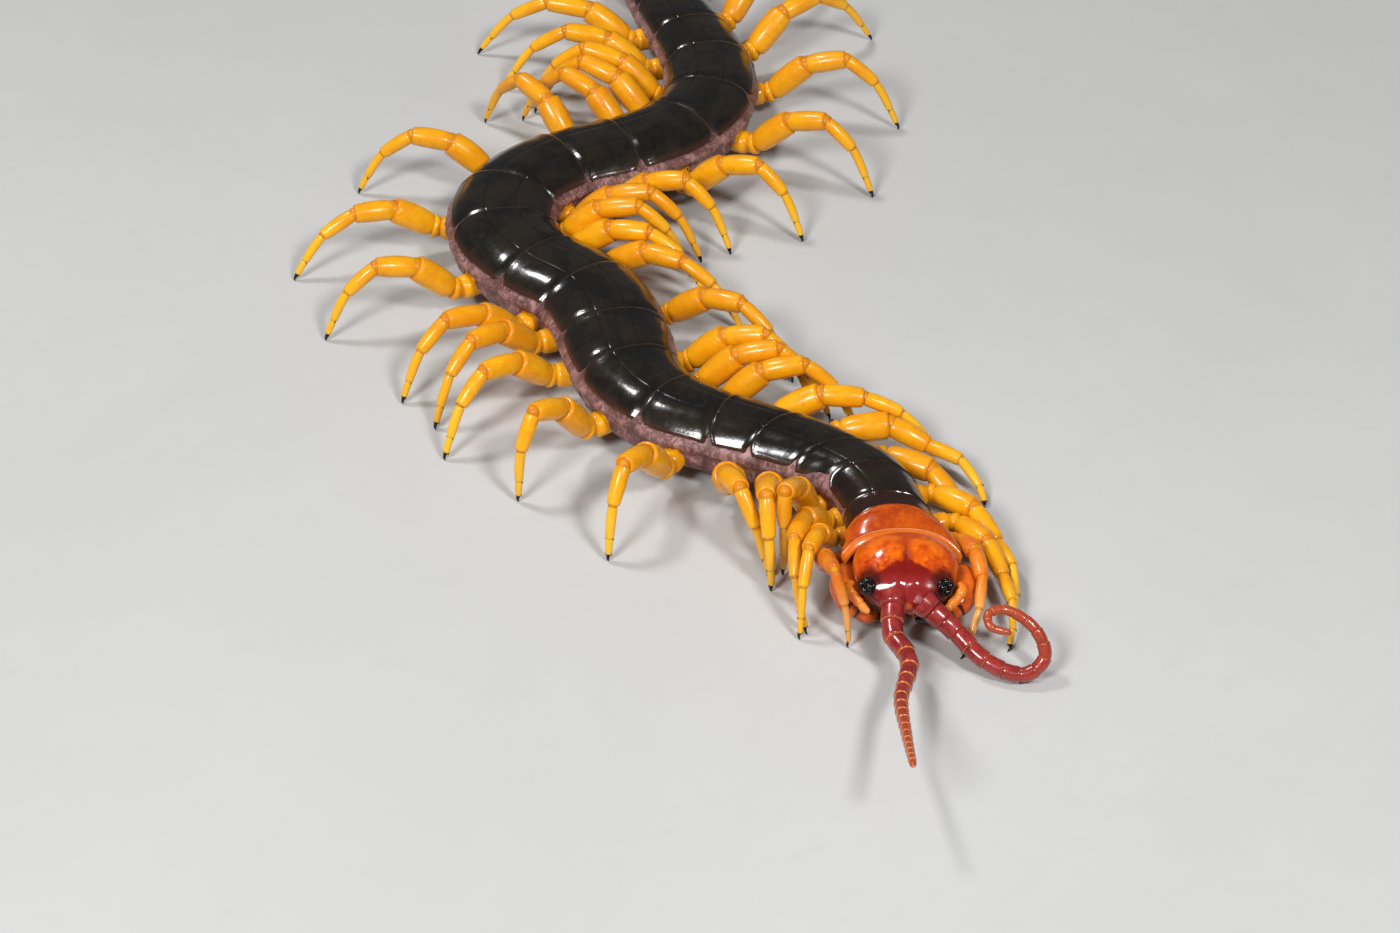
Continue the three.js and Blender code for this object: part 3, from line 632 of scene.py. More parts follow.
def fang_orange():
    """The poison claws: along runs from the root to the tip."""
    f = Finish("fang_orange", (0.4, 0.06), **SHELL, **glow(0.08, 0.0010, 1.0, 0.35, 0.12))
    along = f.mark("along")
    colour = f.mottle(rgb(0.50, 0.070, 0.005), rgb(0.64, 0.125, 0.010), rgb(0.72, 0.22, 0.03),
                      380, 2000, 0.3)
    rings = f.math("MAXIMUM", f.line(along, 0.55, 0.022), f.line(along, 0.63, 0.018))
    colour = f.tint(rings, 0.9, colour, rgb(0.03, 0.006, 0.003))
    colour = f.mix(f.span(along, 0.70, 0.84), colour, rgb(0.010, 0.004, 0.003))
    height, rough = f.relief(3200, 600, 0.2, 0.12, 0.26)
    return f.surface(colour, rough, height, 0.25, FINE_DEPTH)


def leg_shell(name, ground, patch, low, tarsus):
    """Along runs down one article, reach down the whole leg, tone changes from leg to leg."""
    f = Finish(name, (0.22, 0.10), **SHELL, **glow(0.10, 0.0010, 1.0, 0.40, 0.04))
    along, reach = f.mark("along"), f.mark("reach")
    colour = f.mottle(ground, patch, low, 420, 2600, 0.2)
    colour = f.tint(f.span(along, 0.90, 0.99), 0.45, colour, low)
    colour = f.tint(f.span(along, 0.07, 0.0), 0.4, colour, low)
    colour = f.tint(f.span(reach, 0.52, 0.80), 0.85, colour, tarsus)
    colour = f.tint(f.mark("tone"), 0.35, colour, low)
    height, rough = f.relief(3800, 800, 0.2, 0.20, 0.38)
    return f.surface(colour, rough, height, 0.3, FINE_DEPTH)


def wine_antenna():
    """Along runs down one article, reach down the whole antenna."""
    f = Finish("wine_antenna", (0.55, 0.12), IOR=1.48, Specular_IOR_Level=0.35,
               **glow(0.08, 0.0008, 1.0, 0.35, 0.15))
    along = f.mark("along")
    colour = f.mottle(rgb(0.20, 0.012, 0.011), rgb(0.30, 0.026, 0.022), rgb(0.44, 0.07, 0.04),
                      600, 4200, 0.35)
    colour = f.mix(f.span(f.mark("reach"), 0.30, 0.95), colour, rgb(0.40, 0.060, 0.018))
    colour = f.tint(f.span(along, 0.10, 0.0), 0.5, colour, rgb(0.13, 0.006, 0.006))
    colour = f.tint(f.span(along, 0.965, 0.99), 0.75, colour, rgb(0.70, 0.24, 0.05))
    height, rough = f.relief(5200, 900, 0.35, 0.18, 0.36)
    return f.surface(colour, rough, height, 0.3, 0.00005)


def soft_skin():
    """Side skin between the plates and the legs; the tone mark paints shade into the folds between
    segments.
    """
    f = Finish("soft_skin", (0.12, 0.3), IOR=1.42, **glow(0.15, 0.0012, 1.0, 0.45, 0.35))
    colour = f.mottle(rgb(0.205, 0.090, 0.080), rgb(0.360, 0.185, 0.170),
                      rgb(0.085, 0.034, 0.036), 420, 1500, 0.5)
    folds = f.use("folds", Scale=1000, Stretch=0.4)
    # Painted shade in the creases of the wrinkles
    colour = f.tint(folds["Crease"], 0.6, colour, rgb(0.055, 0.020, 0.022))
    # Painted shade in the folds where the skin is drawn in between segments
    colour = f.tint(f.mark("tone"), 0.8, colour, rgb(0.050, 0.020, 0.018))
    _, rough = f.relief(5000, 900, 0.3, 0.34, 0.55)
    return f.surface(colour, rough, folds["Height"], 0.7, 0.00025)


def belly_plate():
    f = Finish("belly_plate", (0.25, 0.15), IOR=1.5)
    furrow = f.line(f.math("ABSOLUTE", f.mark("across")), BELLY_FURROW, 0.05)
    colour = f.mottle(rgb(0.085, 0.030, 0.018), rgb(0.150, 0.060, 0.032),
                      rgb(0.030, 0.012, 0.010), 350, 2200, 0.4)
    colour = f.tint(furrow, 0.6, colour, rgb(0.02, 0.008, 0.006))
    height, rough = f.relief(3000, 500, 0.2, 0.22, 0.4)
    return f.surface(colour, rough, f.carve(height, furrow, 0.7), 0.35, COARSE_DEPTH)


def black_horn(name, low, high, bump):
    f = Finish(name, (0.15, 0.16), IOR=1.42)
    colour = f.mottle(rgb(0.003, 0.002, 0.002), rgb(0.006, 0.004, 0.004),
                      rgb(0.020, 0.009, 0.006), 900, 4000, 0.25)
    height, rough = f.relief(6000, 1500, 0.2, low, high)
    return f.surface(colour, rough, height, bump, 0.00004)


def joint_skin(name, ground, patch, low):
    f = Finish(name, (0.2, 0.2), IOR=1.42, Specular_IOR_Level=0.35,
               **glow(0.10, 0.0008, 1.0, 0.5, 0.2))
    colour = f.mottle(ground, patch, low, 700, 3500, 0.4)
    folds = f.use("folds", Scale=2200, Stretch=0.6)
    _, rough = f.relief(5200, 1200, 0.3, 0.3, 0.5)
    return f.surface(colour, rough, folds["Height"], 0.4, COARSE_DEPTH)


def pale_floor():
    f = Finish("pale_floor")
    colour = f.mottle(rgb(0.49, 0.49, 0.48), rgb(0.51, 0.51, 0.50), rgb(0.47, 0.47, 0.46),
                      9, 300, 0.2)
    height, rough = f.relief(900, 60, 0.2, 0.6, 0.75)
    return f.surface(colour, rough, height, 0.05, COARSE_DEPTH)


BLACK = black_plate()
ORANGE = orange_plate()
HEAD = head_plate()
FANG = fang_orange()
AMBER = leg_shell("amber_leg", rgb(0.80, 0.32, 0.004), rgb(0.88, 0.40, 0.006),
                  rgb(0.60, 0.17, 0.004), rgb(0.88, 0.48, 0.02))
ORANGE_LEG = leg_shell("orange_leg", rgb(0.68, 0.165, 0.010), rgb(0.78, 0.23, 0.018),
                       rgb(0.48, 0.08, 0.004), rgb(0.86, 0.46, 0.12))
ANTENNA = wine_antenna()
SKIN = soft_skin()
BELLY = belly_plate()
HORN = black_horn("black_horn", 0.08, 0.2, 0.15)
EYE = black_horn("eye_black", 0.04, 0.09, 0.01)
JOINT = joint_skin("joint_skin", rgb(0.60, 0.19, 0.0), rgb(0.68, 0.25, 0.0),
                   rgb(0.42, 0.08, 0.0))
RING = joint_skin("antenna_joint", rgb(0.42, 0.060, 0.012), rgb(0.50, 0.10, 0.02),
                  rgb(0.25, 0.02, 0.004))


# Trunk
def plate_share(n):
    """How far down the side a back plate reaches."""
    return float(np.interp(n, [1, 2, 4, 6, 21], [0.97, 0.955, 0.94, 0.90, 0.90]))


def crown(share):
    """Height share of a back plate across the body."""
    return PLATE_FOOT + (1 - PLATE_FOOT) * np.clip(1 - np.abs(share) ** 2.3, 0, 1) ** 0.62


def half_width(station):
    return np.interp(station, [0, *MIDDLES], [FRONT_WIDTH, *SEGMENT_WIDTH]) / 2


def back_height(station):
    return np.interp(station, MIDDLES, SEGMENT_TOP)


def leg_station(n):
    """Where a pair of legs stands along the body."""
    return FRONT_LEG_PLACES[n - 1] if n <= len(FRONT_LEG_PLACES) else MIDDLES[n - 1]


# How sharply a plate's rear edge bends forward toward its sides
ARC_POWER = 2.4


def arc(n):
    """How far the sides of a back plate's rear edge lie in front of its middle."""
    return float(np.interp(n, [0, 1, 2, 3, 4, 6, 8], [0, 1.25, 0.5, 1.1, 0.9, 0.5, 0.25]))


def back_plate(n, tone):
    """One back plate: tucked under the plate in front, its rear edge lying on the next."""
    shape = Shape()
    first, last = n == 1, n == SEGMENTS
    length = SEGMENT_LENGTH[n - 1]
    rows = int(22 + length * 3)
    across = squeezed(49, 1.55)
    away = np.abs(across)
    v = np.linspace(0, 1, rows)
    v = 0.5 * v + 0.5 * (3 * v**2 - 2 * v**3)
    corner = np.clip((away - 0.72) / 0.28, 0, 1)
    front = EDGES[n - 1] - 0.15 + corner**2 * 0.35 - arc(n - 1) * away**ARC_POWER
    if first:
        front = -0.2 - 1.7 * away**3
    rear = EDGES[n] + 0.22 - corner**2.5 * min(0.9, length * 0.14)
    rear = rear - arc(n) * away**ARC_POWER
    if last:
        rear = rear + 0.9 - 1.5 * away**2.2
    V, U = np.meshgrid(v, across, indexing="ij")
    station = front[None] + (rear - front)[None] * V
    reach = plate_share(n)
    wide = half_width(station) * reach * np.interp(V, [0, 0.12, 0.5, 0.92, 1],
                                                   [0.94, 0.98, 1, 1.01, 1.0])
    out = np.abs(U)
    # Tucked front, raised side rims, two furrows, lip along the rear, low side swellings
    tuck, furrow = (0.35, 0.0) if first else (1.0, 0.05)
    lift = np.interp(V, [0, 0.05, 0.12, 0.2, 0.86, 0.94, 0.985, 1],
                     [-0.42 * tuck, -0.36 * tuck, -0.12 * tuck, 0.0, 0.03, 0.10, 0.09, -0.02])
    lift = lift + 0.10 * ridge(out, 0.965, 0.03) - 0.07 * soft_step(0.90, 0.955, out)
    lift = lift - furrow * ridge(out, PLATE_FURROW, 0.03) * soft_step(0.08, 0.2, V)
    lift = lift + (0.12 if n <= 3 else 0.04) * ridge(V, 0.955, 0.022)
    lift = lift + 0.06 * ridge(out, 0.62, 0.18) * np.sin(np.pi * V)
    if last:
        lift = lift - 0.9 * soft_step(0.72, 1.0, V)
    arch = crown(U * reach)
    if first:
        wide = wide * (1 + 0.07 * soft_step(0.7, 0.1, V))
        lift = lift + 0.16 * ridge(V, 0.18, 0.016) - 0.05 * soft_step(0.19, 0.12, V)
        lift = lift - 0.75 * soft_step(0.8, 0.1, V)
        arch = arch + (0.08 - 0.02 * U**2) * out**3 * soft_step(1.0, 0.2, V)
    height = BELLY_HEIGHT + (back_height(station) - BELLY_HEIGHT) * arch + lift
    top = plate_point(station, U * wide, height)
    inner = plate_point(station, U * (wide - 0.22), height - 0.30 - 0.05 * (1 - out))
    inner[:, 0, 2] += 0.12
    inner[:, -1, 2] += 0.12
    ring = np.concatenate([top, inner[:, ::-1]], 1)
    shape.grid(ring, capped=False, along=there_and_back(V), across=there_and_back(U), tone=tone)
    # Faces across the front and rear edges
    count, around = ring.shape[:2]
    for near in (0, (count - 1) * around):
        far = near + around - 1
        for c in range(around // 2 - 1):
            shape.faces.append((near + c, near + c + 1, far - c - 1, far - c))
            shape.paint.append(0)
    shape.make(f"back_plate_{n:02d}", [ORANGE if first else BLACK])


def belly(shape, n):
    """One belly plate, with its two furrows."""
    V, U = np.meshgrid(np.linspace(0, 1, 14), np.linspace(-1, 1, 21), indexing="ij")
    length = SEGMENT_LENGTH[n - 1]
    rounding = 0.35 * np.abs(U) ** 4 * length * 0.15
    station = EDGES[n - 1] + 0.25 + rounding + V * (length - 0.5 - 2 * rounding)
    wide = half_width(station) * 0.56
    height = BELLY_HEIGHT + 0.02 + 0.55 * np.abs(U) ** 3.2 + 0.10 * (2 * V - 1) ** 4
    height = height + 0.05 * ridge(np.abs(U), BELLY_FURROW, 0.06)
    low = body_point(station, U * wide, height)
    high = body_point(station, U * wide * 0.93, height + 0.4)
    ring = np.concatenate([low, high[:, ::-1]], 1)
    shape.grid(ring, along=there_and_back(V), across=there_and_back(U))


def end_lobes(shape):
    """The short end of the body between the last legs."""
    _, _, tail = body_axes(BODY_LENGTH)
    for back, height, size in ((-0.1, 5.0, (2.3, 1.5, 0.9)), (0.25, 4.0, (1.5, 1.2, 0.9))):
        shape.ball(body_point(BODY_LENGTH + back, 0.0, height), size, tail, 26, 14, along=0.5)
    for side in (1, -1):
        at = body_point(BODY_LENGTH + 0.1, 0.75 * side, 3.2)
        shape.ball(at, (0.8, 0.7, 0.9), tail, 20, 12, along=0.5)


# Half outline of the skin: share of the half width, share of the height
SKIN_SECTION = [(0.0, 0.93), (0.40, 0.90), (0.70, 0.80), (0.85, 0.70), (0.955, 0.625),
                (0.985, 0.555), (0.94, 0.49), (0.89, 0.43), (0.90, 0.35), (0.87, 0.26),
                (0.80, 0.17), (0.68, 0.08), (0.52, 0.035), (0.25, 0.03), (0.0, 0.03)]


def side_skin():
    """Soft skin of the whole trunk, drawn in between the segments and finely wrinkled."""
    stations = np.concatenate([[0.2], np.arange(0.6, BODY_LENGTH - 0.2, 0.36), [BODY_LENGTH - 0.1]])
    half = through(np.arange(len(SKIN_SECTION)), SKIN_SECTION,
                   np.linspace(0, len(SKIN_SECTION) - 1, 46))
    outline = np.concatenate([half, (half * [-1, 1])[-2:0:-1]])
    station = stations[:, None]
    share, high = outline[None, :, 0], outline[None, :, 1]
    wide = half_width(station)
    top = back_height(station) - 1.2 * soft_step(4.2, 0.4, station)
    near = np.min(np.abs(station[..., None] - EDGES[None, None, 1:-1]), -1)
    pinch = ridge(near, 0, 0.55)
    side = soft_step(0.14, 0.30, high) * soft_step(0.70, 0.60, high)
    sideways = share * wide * (1 - 0.035 * pinch * side)
    height = BELLY_HEIGHT + (top - BELLY_HEIGHT) * (high + 0 * station)
    points = body_point(station + 0 * share, sideways, height)
    middle = body_point(station + 0 * share, 0 * sideways, np.full_like(sideways, 4.5))
    away = unit(points - middle)
    push = np.zeros(points.shape[:2])
    for r in range(points.shape[0]):
        for c in range(points.shape[1]):
            if side[0, c] > 0.02:
                p = Vector(points[r, c])
                fold = noise.noise(Vector((p.x * 0.9, p.y * 0.9, p.z * 2.4)))
                fine = noise.noise(Vector((p.x * 2.6, p.y * 2.6, p.z * 5.0)))
                push[r, c] = 0.16 * fold + 0.06 * fine
    points = points + away * (push * side)[..., None]
    shape = Shape()
    # The tone mark carries painted shade into the folds between segments
    shape.grid(points, tone=pinch[:, 0] * 0.6)
    shape.make("side_skin", [SKIN], TRUNK_NODES)


def side_spot(shape, n, side):
    """The small hard plate above a leg root, and the breathing hole behind it."""
    middle = leg_station(n)
    wide = side * half_width(middle)
    at = body_point(middle - 0.5, wide * 0.885, 4.95)
    _, left, _ = body_axes(middle - 0.5)
    out = unit(side * left + np.array([0, 0, 0.15]))
    shape.ball(at, (0.34, 0.62, 0.30), out, 14, 8, tone=0.2, along=0.5)
    if n in SPIRACLE_SEGMENTS:
        hole = body_point(middle + 0.75, wide * 0.895, 4.75)
        shape.ball(hole, (0.36, 0.58, 0.22), out, 16, 8, tone=1.0, along=0.5)
        shape.ball(hole + out * 0.14, (0.16, 0.40, 0.12), out, 12, 8, 1)


def make_trunk():
    side_skin()
    for n in range(1, SEGMENTS + 1):
        back_plate(n, PLATE_TONE.get(n, 0.0))
    under = Shape()
    for n in range(1, SEGMENTS + 1):
        belly(under, n)
    end_lobes(under)
    under.make("belly_plates", [BELLY])
    spots = Shape()
    for n in range(1, SEGMENTS + 1):
        for side in (1, -1):
            side_spot(spots, n, side)
    spots.make("side_spots", [AMBER, HORN])


# Legs
# Extra thickness of each article of the walking legs
STOUT = (1.16, 1.12, 1.06, 1.0, 1.0)
COXA_PROFILE = ([0, 0.4, 0.75, 0.92, 1], [1.05, 1.12, 1.12, 1.02, 0.72])
TROCHANTER_PROFILE = ([0, 0.1, 0.3, 0.55, 0.8, 0.93, 1.0],
                      [0.7, 0.88, 1.0, 1.03, 1.05, 0.98, 0.72])
LEG_SIDES = 16
# Swelling of an article: share of its length, scale of its diameter
ARTICLE_PROFILE = [(0.0, 0.66), (0.015, 0.76), (0.04, 0.83), (0.08, 0.89), (0.14, 0.94),
                   (0.22, 0.98), (0.34, 1.02), (0.48, 1.05), (0.62, 1.06), (0.76, 1.05),
                   (0.86, 1.03), (0.92, 1.02), (0.955, 1.0), (0.98, 0.95), (0.993, 0.87),
                   (1.0, 0.74)]


def direction(swing, rise, side):
    """Direction in a leg's own frame: +X outward, +Y toward the tail on the left side."""
    swing, rise = math.radians(swing), math.radians(rise)
    return np.array([math.cos(rise) * math.cos(swing), side * math.cos(rise) * math.sin(swing),
                     math.sin(rise)])


def leg_scale(index):
    front = min(1, FIRST_LEG_SCALE + FRONT_LEG_GROWTH * (index - 1))
    return front + max(0, index - 16) * REAR_LEG_GROWTH


def bend_to_floor(start, lengths, rises, swings, side):
    """Joints of a leg whose lower articles are turned until the tip meets the floor."""
    def build(extra):
        joints = [np.array(start)]
        for i, length in enumerate(lengths):
            rise = max(rises[i] + (extra if i > 1 else 0), -88)
            joints.append(joints[-1] + direction(swings[i], rise, side) * length)
        return joints

    low, high = -80.0, 70.0
    for _ in range(40):
        middle = (low + high) / 2
        if build(middle)[-1][2] > 0:
            high = middle
        else:
            low = middle
    return np.array(build((low + high) / 2))


def walking_leg(index, side_name):
    side = SIDES[side_name]
    offset = OWN_ROOT_OFFSET[side_name].get(index, LEG_ROOT_OFFSET)
    swing, lift = LEG_SWING[side_name][index - 1], LEG_LIFT[side_name][index - 1]
    own = OWN_LEG_CURL[side_name]
    curl = own[index - 1] if index <= len(own) else LEG_CURL
    root = np.array([SEGMENT_WIDTH[index - 1] / 2 + offset, 0, LEG_ROOT_HEIGHT])
    aim = direction(swing * ROOT_SWING_SHARE, lift * ROOT_RISE_SHARE, side)
    lengths = [length * leg_scale(index) for length in LEG_ARTICLES]
    swings = [swing + curl * i / 5 for i in range(6)]
    joints = bend_to_floor(root + aim * TROCHANTER_LENGTH, lengths,
                           [lift, lift - FEMUR_DROP, *LEG_DROP], swings, side)
    thick = min(1, FIRST_LEG_THICKNESS + THICKNESS_GROWTH * (index - 1))
    return {"station": leg_station(index), "side": side, "root": root, "aim": aim,
            "joints": joints, "swings": swings, "inward": np.array([-STUB_DEPTH, 0, 0]),
            "coxa": COXA_DIAMETER / 2 * thick,
            "diameters": [(a * thick, b * thick) for a, b in LEG_DIAMETERS]}


def last_leg(side_name):
    side = SIDES[side_name]
    splay = LAST_SPLAY[side_name]
    root = np.array(LAST_ROOT) * [1, side, 1]
    aim = direction(90 - splay * 0.5, 8, side)
    swings = [90 - splay + i * 2 for i in range(6)]
    joints = bend_to_floor(root + aim * TROCHANTER_LENGTH, LAST_ARTICLES, LAST_RISE, swings, side)
    return {"station": BODY_LENGTH - LAST_ROOT_SETBACK, "side": side, "root": root, "aim": aim,
            "joints": joints, "swings": swings, "inward": np.array([0, -side * STUB_DEPTH, 0]),
            "coxa": LAST_COXA_RADIUS, "diameters": LAST_DIAMETERS}


def leg_world(leg, points):
    """Points of a leg's own frame, placed beside the spine."""
    place, left, tail = body_axes(np.array(leg["station"]))
    points = np.asarray(points, float)
    side = leg["side"]
    return (place + points[..., :1] * side * left + points[..., 1:2] * side * tail
            + points[..., 2:] * np.array([0, 0, 1.0]))


def leg_turn(leg, vector):
    return leg_world(leg, vector) - leg_world(leg, np.zeros(3))


def across_leg(leg, joint):
    """Level direction across an article, in the leg's own frame."""
    swing = math.radians(leg["swings"][joint])
    return np.array([-math.sin(swing), leg["side"] * math.cos(swing), 0.0])


def add_article(shape, leg, i, length, runs, tone):
    """One bowed article of a leg with the ball of the joint above it."""
    joints, walking = leg["joints"], leg["diameters"] is not LAST_DIAMETERS
    thick, thin = leg["diameters"][i]
    if walking:
        thick, thin = thick * STOUT[i], thin * STOUT[i]
    t, scale = np.array(ARTICLE_PROFILE).T
    if i >= 3:
        scale = 1 + (scale - 1) * 0.7
    axis = joints[i + 1] - joints[i]
    wide = across_leg(leg, i)
    high = unit(np.cross(axis, wide))
    high = high if high[2] > 0 or abs(axis[2]) > abs(high[2]) * 9 else -high
    bow = np.sin(np.pi * t)[:, None] * high * length * (0.02 if i < 3 else 0.03)
    path = joints[i] + axis * t[:, None] + (bow if high[2] > 0 else -bow)
    radii = (thick + (thin - thick) * t) / 2 * scale
    shape.tube(leg_world(leg, path), radii, LEG_SIDES, leg_turn(leg, wide), 0.97, along=t,
               reach=runs[0] + (runs[1] - runs[0]) * t, tone=tone)
    above = leg["diameters"][i - 1][1] if i else leg["coxa"] * 1.7
    shape.ball(leg_world(leg, joints[i]), 0.45 * min(above, thick), leg_turn(leg, axis), 14, 8,
               1, tone=tone)


def add_claw(shape, leg):
    """The black end claw, and the short spurs at the ends of the two articles above it."""
    joints = leg["joints"]
    axis = joints[-1] - joints[-2]
    inward = np.array([-0.35, 0.0, 0.10]) * np.linalg.norm(axis)
    t = np.linspace(0, 1, 9)
    path = joints[-2] + axis * t[:, None] + np.sin(np.pi * t)[:, None] * -inward * 0.45
    radius = leg["diameters"][-1][0] / 2 * 0.86 * (1 - t) ** 0.7 + 0.03
    shape.tube(leg_world(leg, path), radius, 10, paint=2, along=0.5)
    for joint, spread in ((4, 1), (4, -1), (5, 1), (5, -1)):
        size = leg["diameters"][joint - 1][1] / 2
        offset = across_leg(leg, joint - 1) * spread * size * 0.7
        onward = unit(joints[joint] - joints[joint - 1])
        start = joints[joint] - onward * 0.25 + offset
        shape.spine(leg_world(leg, start), leg_world(leg, start + onward * 0.55 + offset * 0.5),
                    0.09, paint=2)


def add_root(shape, leg, tone):
    """The two short articles that a leg stands on, the first sunk in the side of the body."""
    root, start = leg["root"], leg["joints"][0]
    inner = root + leg["inward"]
    t = np.linspace(0, 1, 10)
    shape.tube(leg_world(leg, inner + (root - inner) * t[:, None]),
               leg["coxa"] * np.interp(t, *COXA_PROFILE), LEG_SIDES, flatten=0.95,
               along=0.4 + 0.6 * t, tone=tone * 0.5)
    shape.ball(leg_world(leg, root), leg["coxa"] * 0.86, leg_turn(leg, leg["aim"]), 14, 8, 1)
    t, scale = np.array(TROCHANTER_PROFILE)
    shape.tube(leg_world(leg, root + (start - root) * (0.06 + 0.88 * t)[:, None]),
               leg["coxa"] * scale, LEG_SIDES, along=0.15 + 0.8 * t, tone=tone)


def make_leg(side_name, index):
    last = index == SEGMENTS
    leg = last_leg(side_name) if last else walking_leg(index, side_name)
    tone = pick.random()
    lengths = np.linalg.norm(np.diff(leg["joints"], axis=0), axis=1)
    runs = np.concatenate([[0], np.cumsum(lengths)]) / lengths.sum()
    shape = Shape()
    for i in range(len(lengths) - 1):
        add_article(shape, leg, i, lengths[i], runs[i:i + 2], tone)
    add_claw(shape, leg)
    add_root(shape, leg, tone)
    if last:
        thigh_spines(shape, leg)
    finish, slot = (ORANGE_LEG, "orange_leg") if last or index == 1 else (AMBER, "amber_leg")
    shape.make(f"walking_leg_{side_name}_{index:02d}", [finish, JOINT, HORN],
               [f"leg_{side_name}_{index:02d}"], crease=60)


def thigh_spines(shape, leg):
    """Three rows of short dark spines under the thigh of a last leg."""
    root, knee = leg["joints"][0], leg["joints"][1]
    axis = unit(knee - root)
    side_axis = unit(np.cross(axis, [0, 0, 1.0]))
    for row, tilt in enumerate((-150, -105, -40)):
        turn = math.radians(tilt)
        out = side_axis * math.cos(turn) + np.cross(side_axis, axis) * -math.sin(turn)
        for k in range(3):
            at = root + (knee - root) * (0.28 + 0.24 * k + 0.05 * row) + out * 1.5
            shape.spine(leg_world(leg, at), leg_world(leg, at + out * 0.55 + axis * 0.3), 0.16,
                        paint=2)


# Head
def head_value(forward, column):
    knots, *columns = zip(*HEAD_RINGS)
    return through(knots, columns[column], forward)


def make_head():
    """The head plate with its lobes, brow, rims and middle groove, and the underside."""
    back, front = HEAD_RINGS[0][0], HEAD_RINGS[-1][0]
    t = np.linspace(0, 1, 74)
    forward = back + (front - back) * (0.5 - 0.5 * np.cos(np.pi * t)) ** 0.92
    F, U = np.meshgrid(forward, squeezed(65, 1.5), indexing="ij")
    half, top, low = (head_value(F, k) for k in range(3))
    crest = 0.5 + 0.5 * np.clip(1 - np.abs(U) ** 2.2, 0, 1) ** 0.6
    sideways = U * half
    out, share = np.abs(sideways), np.abs(U)
    groove = ridge(sideways, 0, 0.16) * soft_step(0.8, 2.4, F) * soft_step(7.4, 6.2, F)
    lobes = ridge(out, 2.3, 1.3) * ridge(F, 3.2, 2.2)
    brow = ridge(out, 0.95, 0.75) * ridge(F, 7.35, 0.65)
    rim, gutter = ridge(share, 0.975, 0.022), ridge(share, 0.915, 0.03)
    height = low + (top - low) * crest
    height = height - 0.13 * groove + 0.10 * lobes + 0.28 * brow + 0.07 * rim - 0.06 * gutter
    upper = head_point(F, sideways, height)
    under = np.interp(np.linspace(0, 1, 27)[1:-1], [0, 0.12, 0.3, 0.5, 0.7, 0.88, 1],
                      [1, 0.93, 0.7, 0, -0.7, -0.93, -1])
    rise = np.interp(np.abs(under), [0, 0.7, 0.93, 1], [0.0, 0.08, 0.3, 0.45])
    F2, U2 = np.meshgrid(forward, under, indexing="ij")
    half2, top2, low2 = (head_value(F2, k) for k in range(3))
    lower = head_point(F2, U2 * half2, low2 + (top2 - low2) * rise[None])
    shape = Shape()
    shape.grid(np.concatenate([upper, lower], 1), along=np.concatenate([F, F2], 1),
               across=np.concatenate([sideways, U2 * half2], 1))
    for side_name in SIDES:
        antenna_socket(shape, antenna_path(side_name))
    lip(shape)
    shape.make("head_plate", [HEAD, ANTENNA, FANG, HORN], ["head"], crease=50)


def antenna_socket(shape, route):
    """The ring that an antenna turns in."""
    at, axis = route(0.0), unit(route(0.6) - route(0.0))
    t = np.linspace(0, 1, 9)
    scale = np.interp(t, [0, 0.4, 0.7, 0.88, 1], [1.15, 1.12, 1.08, 1.02, 0.85])
    shape.tube(at - axis * 1.5 + axis * 1.5 * t[:, None], ANTENNA_DIAMETERS[0] / 2 * scale, 20,
               paint=1, along=0.5, reach=0.05)


def lip(shape):
    """The small front plates between the antennae."""
    at = head_point(8.05, 0.0, 4.9)
    ahead = head_point(9.0, 0.0, 4.6) - at
    shape.ball(at, (1.25, 0.85, 0.55), ahead, 20, 12, 2, along=0.3)
    low = head_point(8.1, 0.0, 4.15)
    for side in (-1, 1):
        shape.ball(low + head_turn(0.0, 0.55 * side, 0), (0.62, 0.42, 0.45), ahead, 16, 10, 2,
                   along=0.2)


def make_eyes(side_name):
    """Four glossy beads on a low dark patch."""
    side = SIDES[side_name]
    out = unit(head_turn(EYE_AIM[0], side * EYE_AIM[1], EYE_AIM[2]))
    at = head_point(EYE_PLACE[0], side * EYE_PLACE[1], EYE_PLACE[2])
    back = head_turn(-1.0, 0.0, 0.0)
    along = unit(back - out * np.dot(back, out))
    up = np.cross(out, along) * side
    shape = Shape()
    shape.ball(at + out * 0.05, EYE_PATCH, out, 30, 12, 1)
    for a, b in EYE_SPOTS:
        shape.ball(at + along * a + up * b + out * 0.26, EYE_RADIUS, out, 28, 18)
    shape.make(f"eye_beads_{side_name}", [EYE, HORN], [f"ocelli_{side_name}"])


def antenna_path(side_name):
    """Point at a distance along the route, by a curve that keeps its knots even."""
    knots = np.array(ANTENNA_ROUTE[side_name]) - [CENTRE[0], CENTRE[1], 0]
    gaps = np.sqrt(np.linalg.norm(np.diff(knots, axis=0), axis=1))
    place = np.concatenate([[0], np.cumsum(gaps)])
    fine = through(place, knots, np.linspace(0, place[-1], 400))
    run = np.concatenate([[0], np.cumsum(np.linalg.norm(np.diff(fine, axis=0), axis=1))])

    def at(distance):
        distance = np.asarray(distance, float)
        return np.stack([np.interp(distance, run, fine[:, k]) for k in range(3)], -1)

    at.length = run[-1]
    return at


# Swelling of a bead: share of its length, scale of its diameter
ANTENNA_PROFILE = [(0.0, 0.84), (0.015, 0.90), (0.05, 0.945), (0.14, 0.98), (0.35, 1.0),
                   (0.6, 1.03), (0.8, 1.06), (0.9, 1.07), (0.96, 1.05), (0.988, 0.99),
                   (1.0, 0.90)]
ANTENNA_TIP = ([0, 0.1, 0.6, 0.85, 1], [0.62, 0.9, 0.95, 0.7, 0.25])


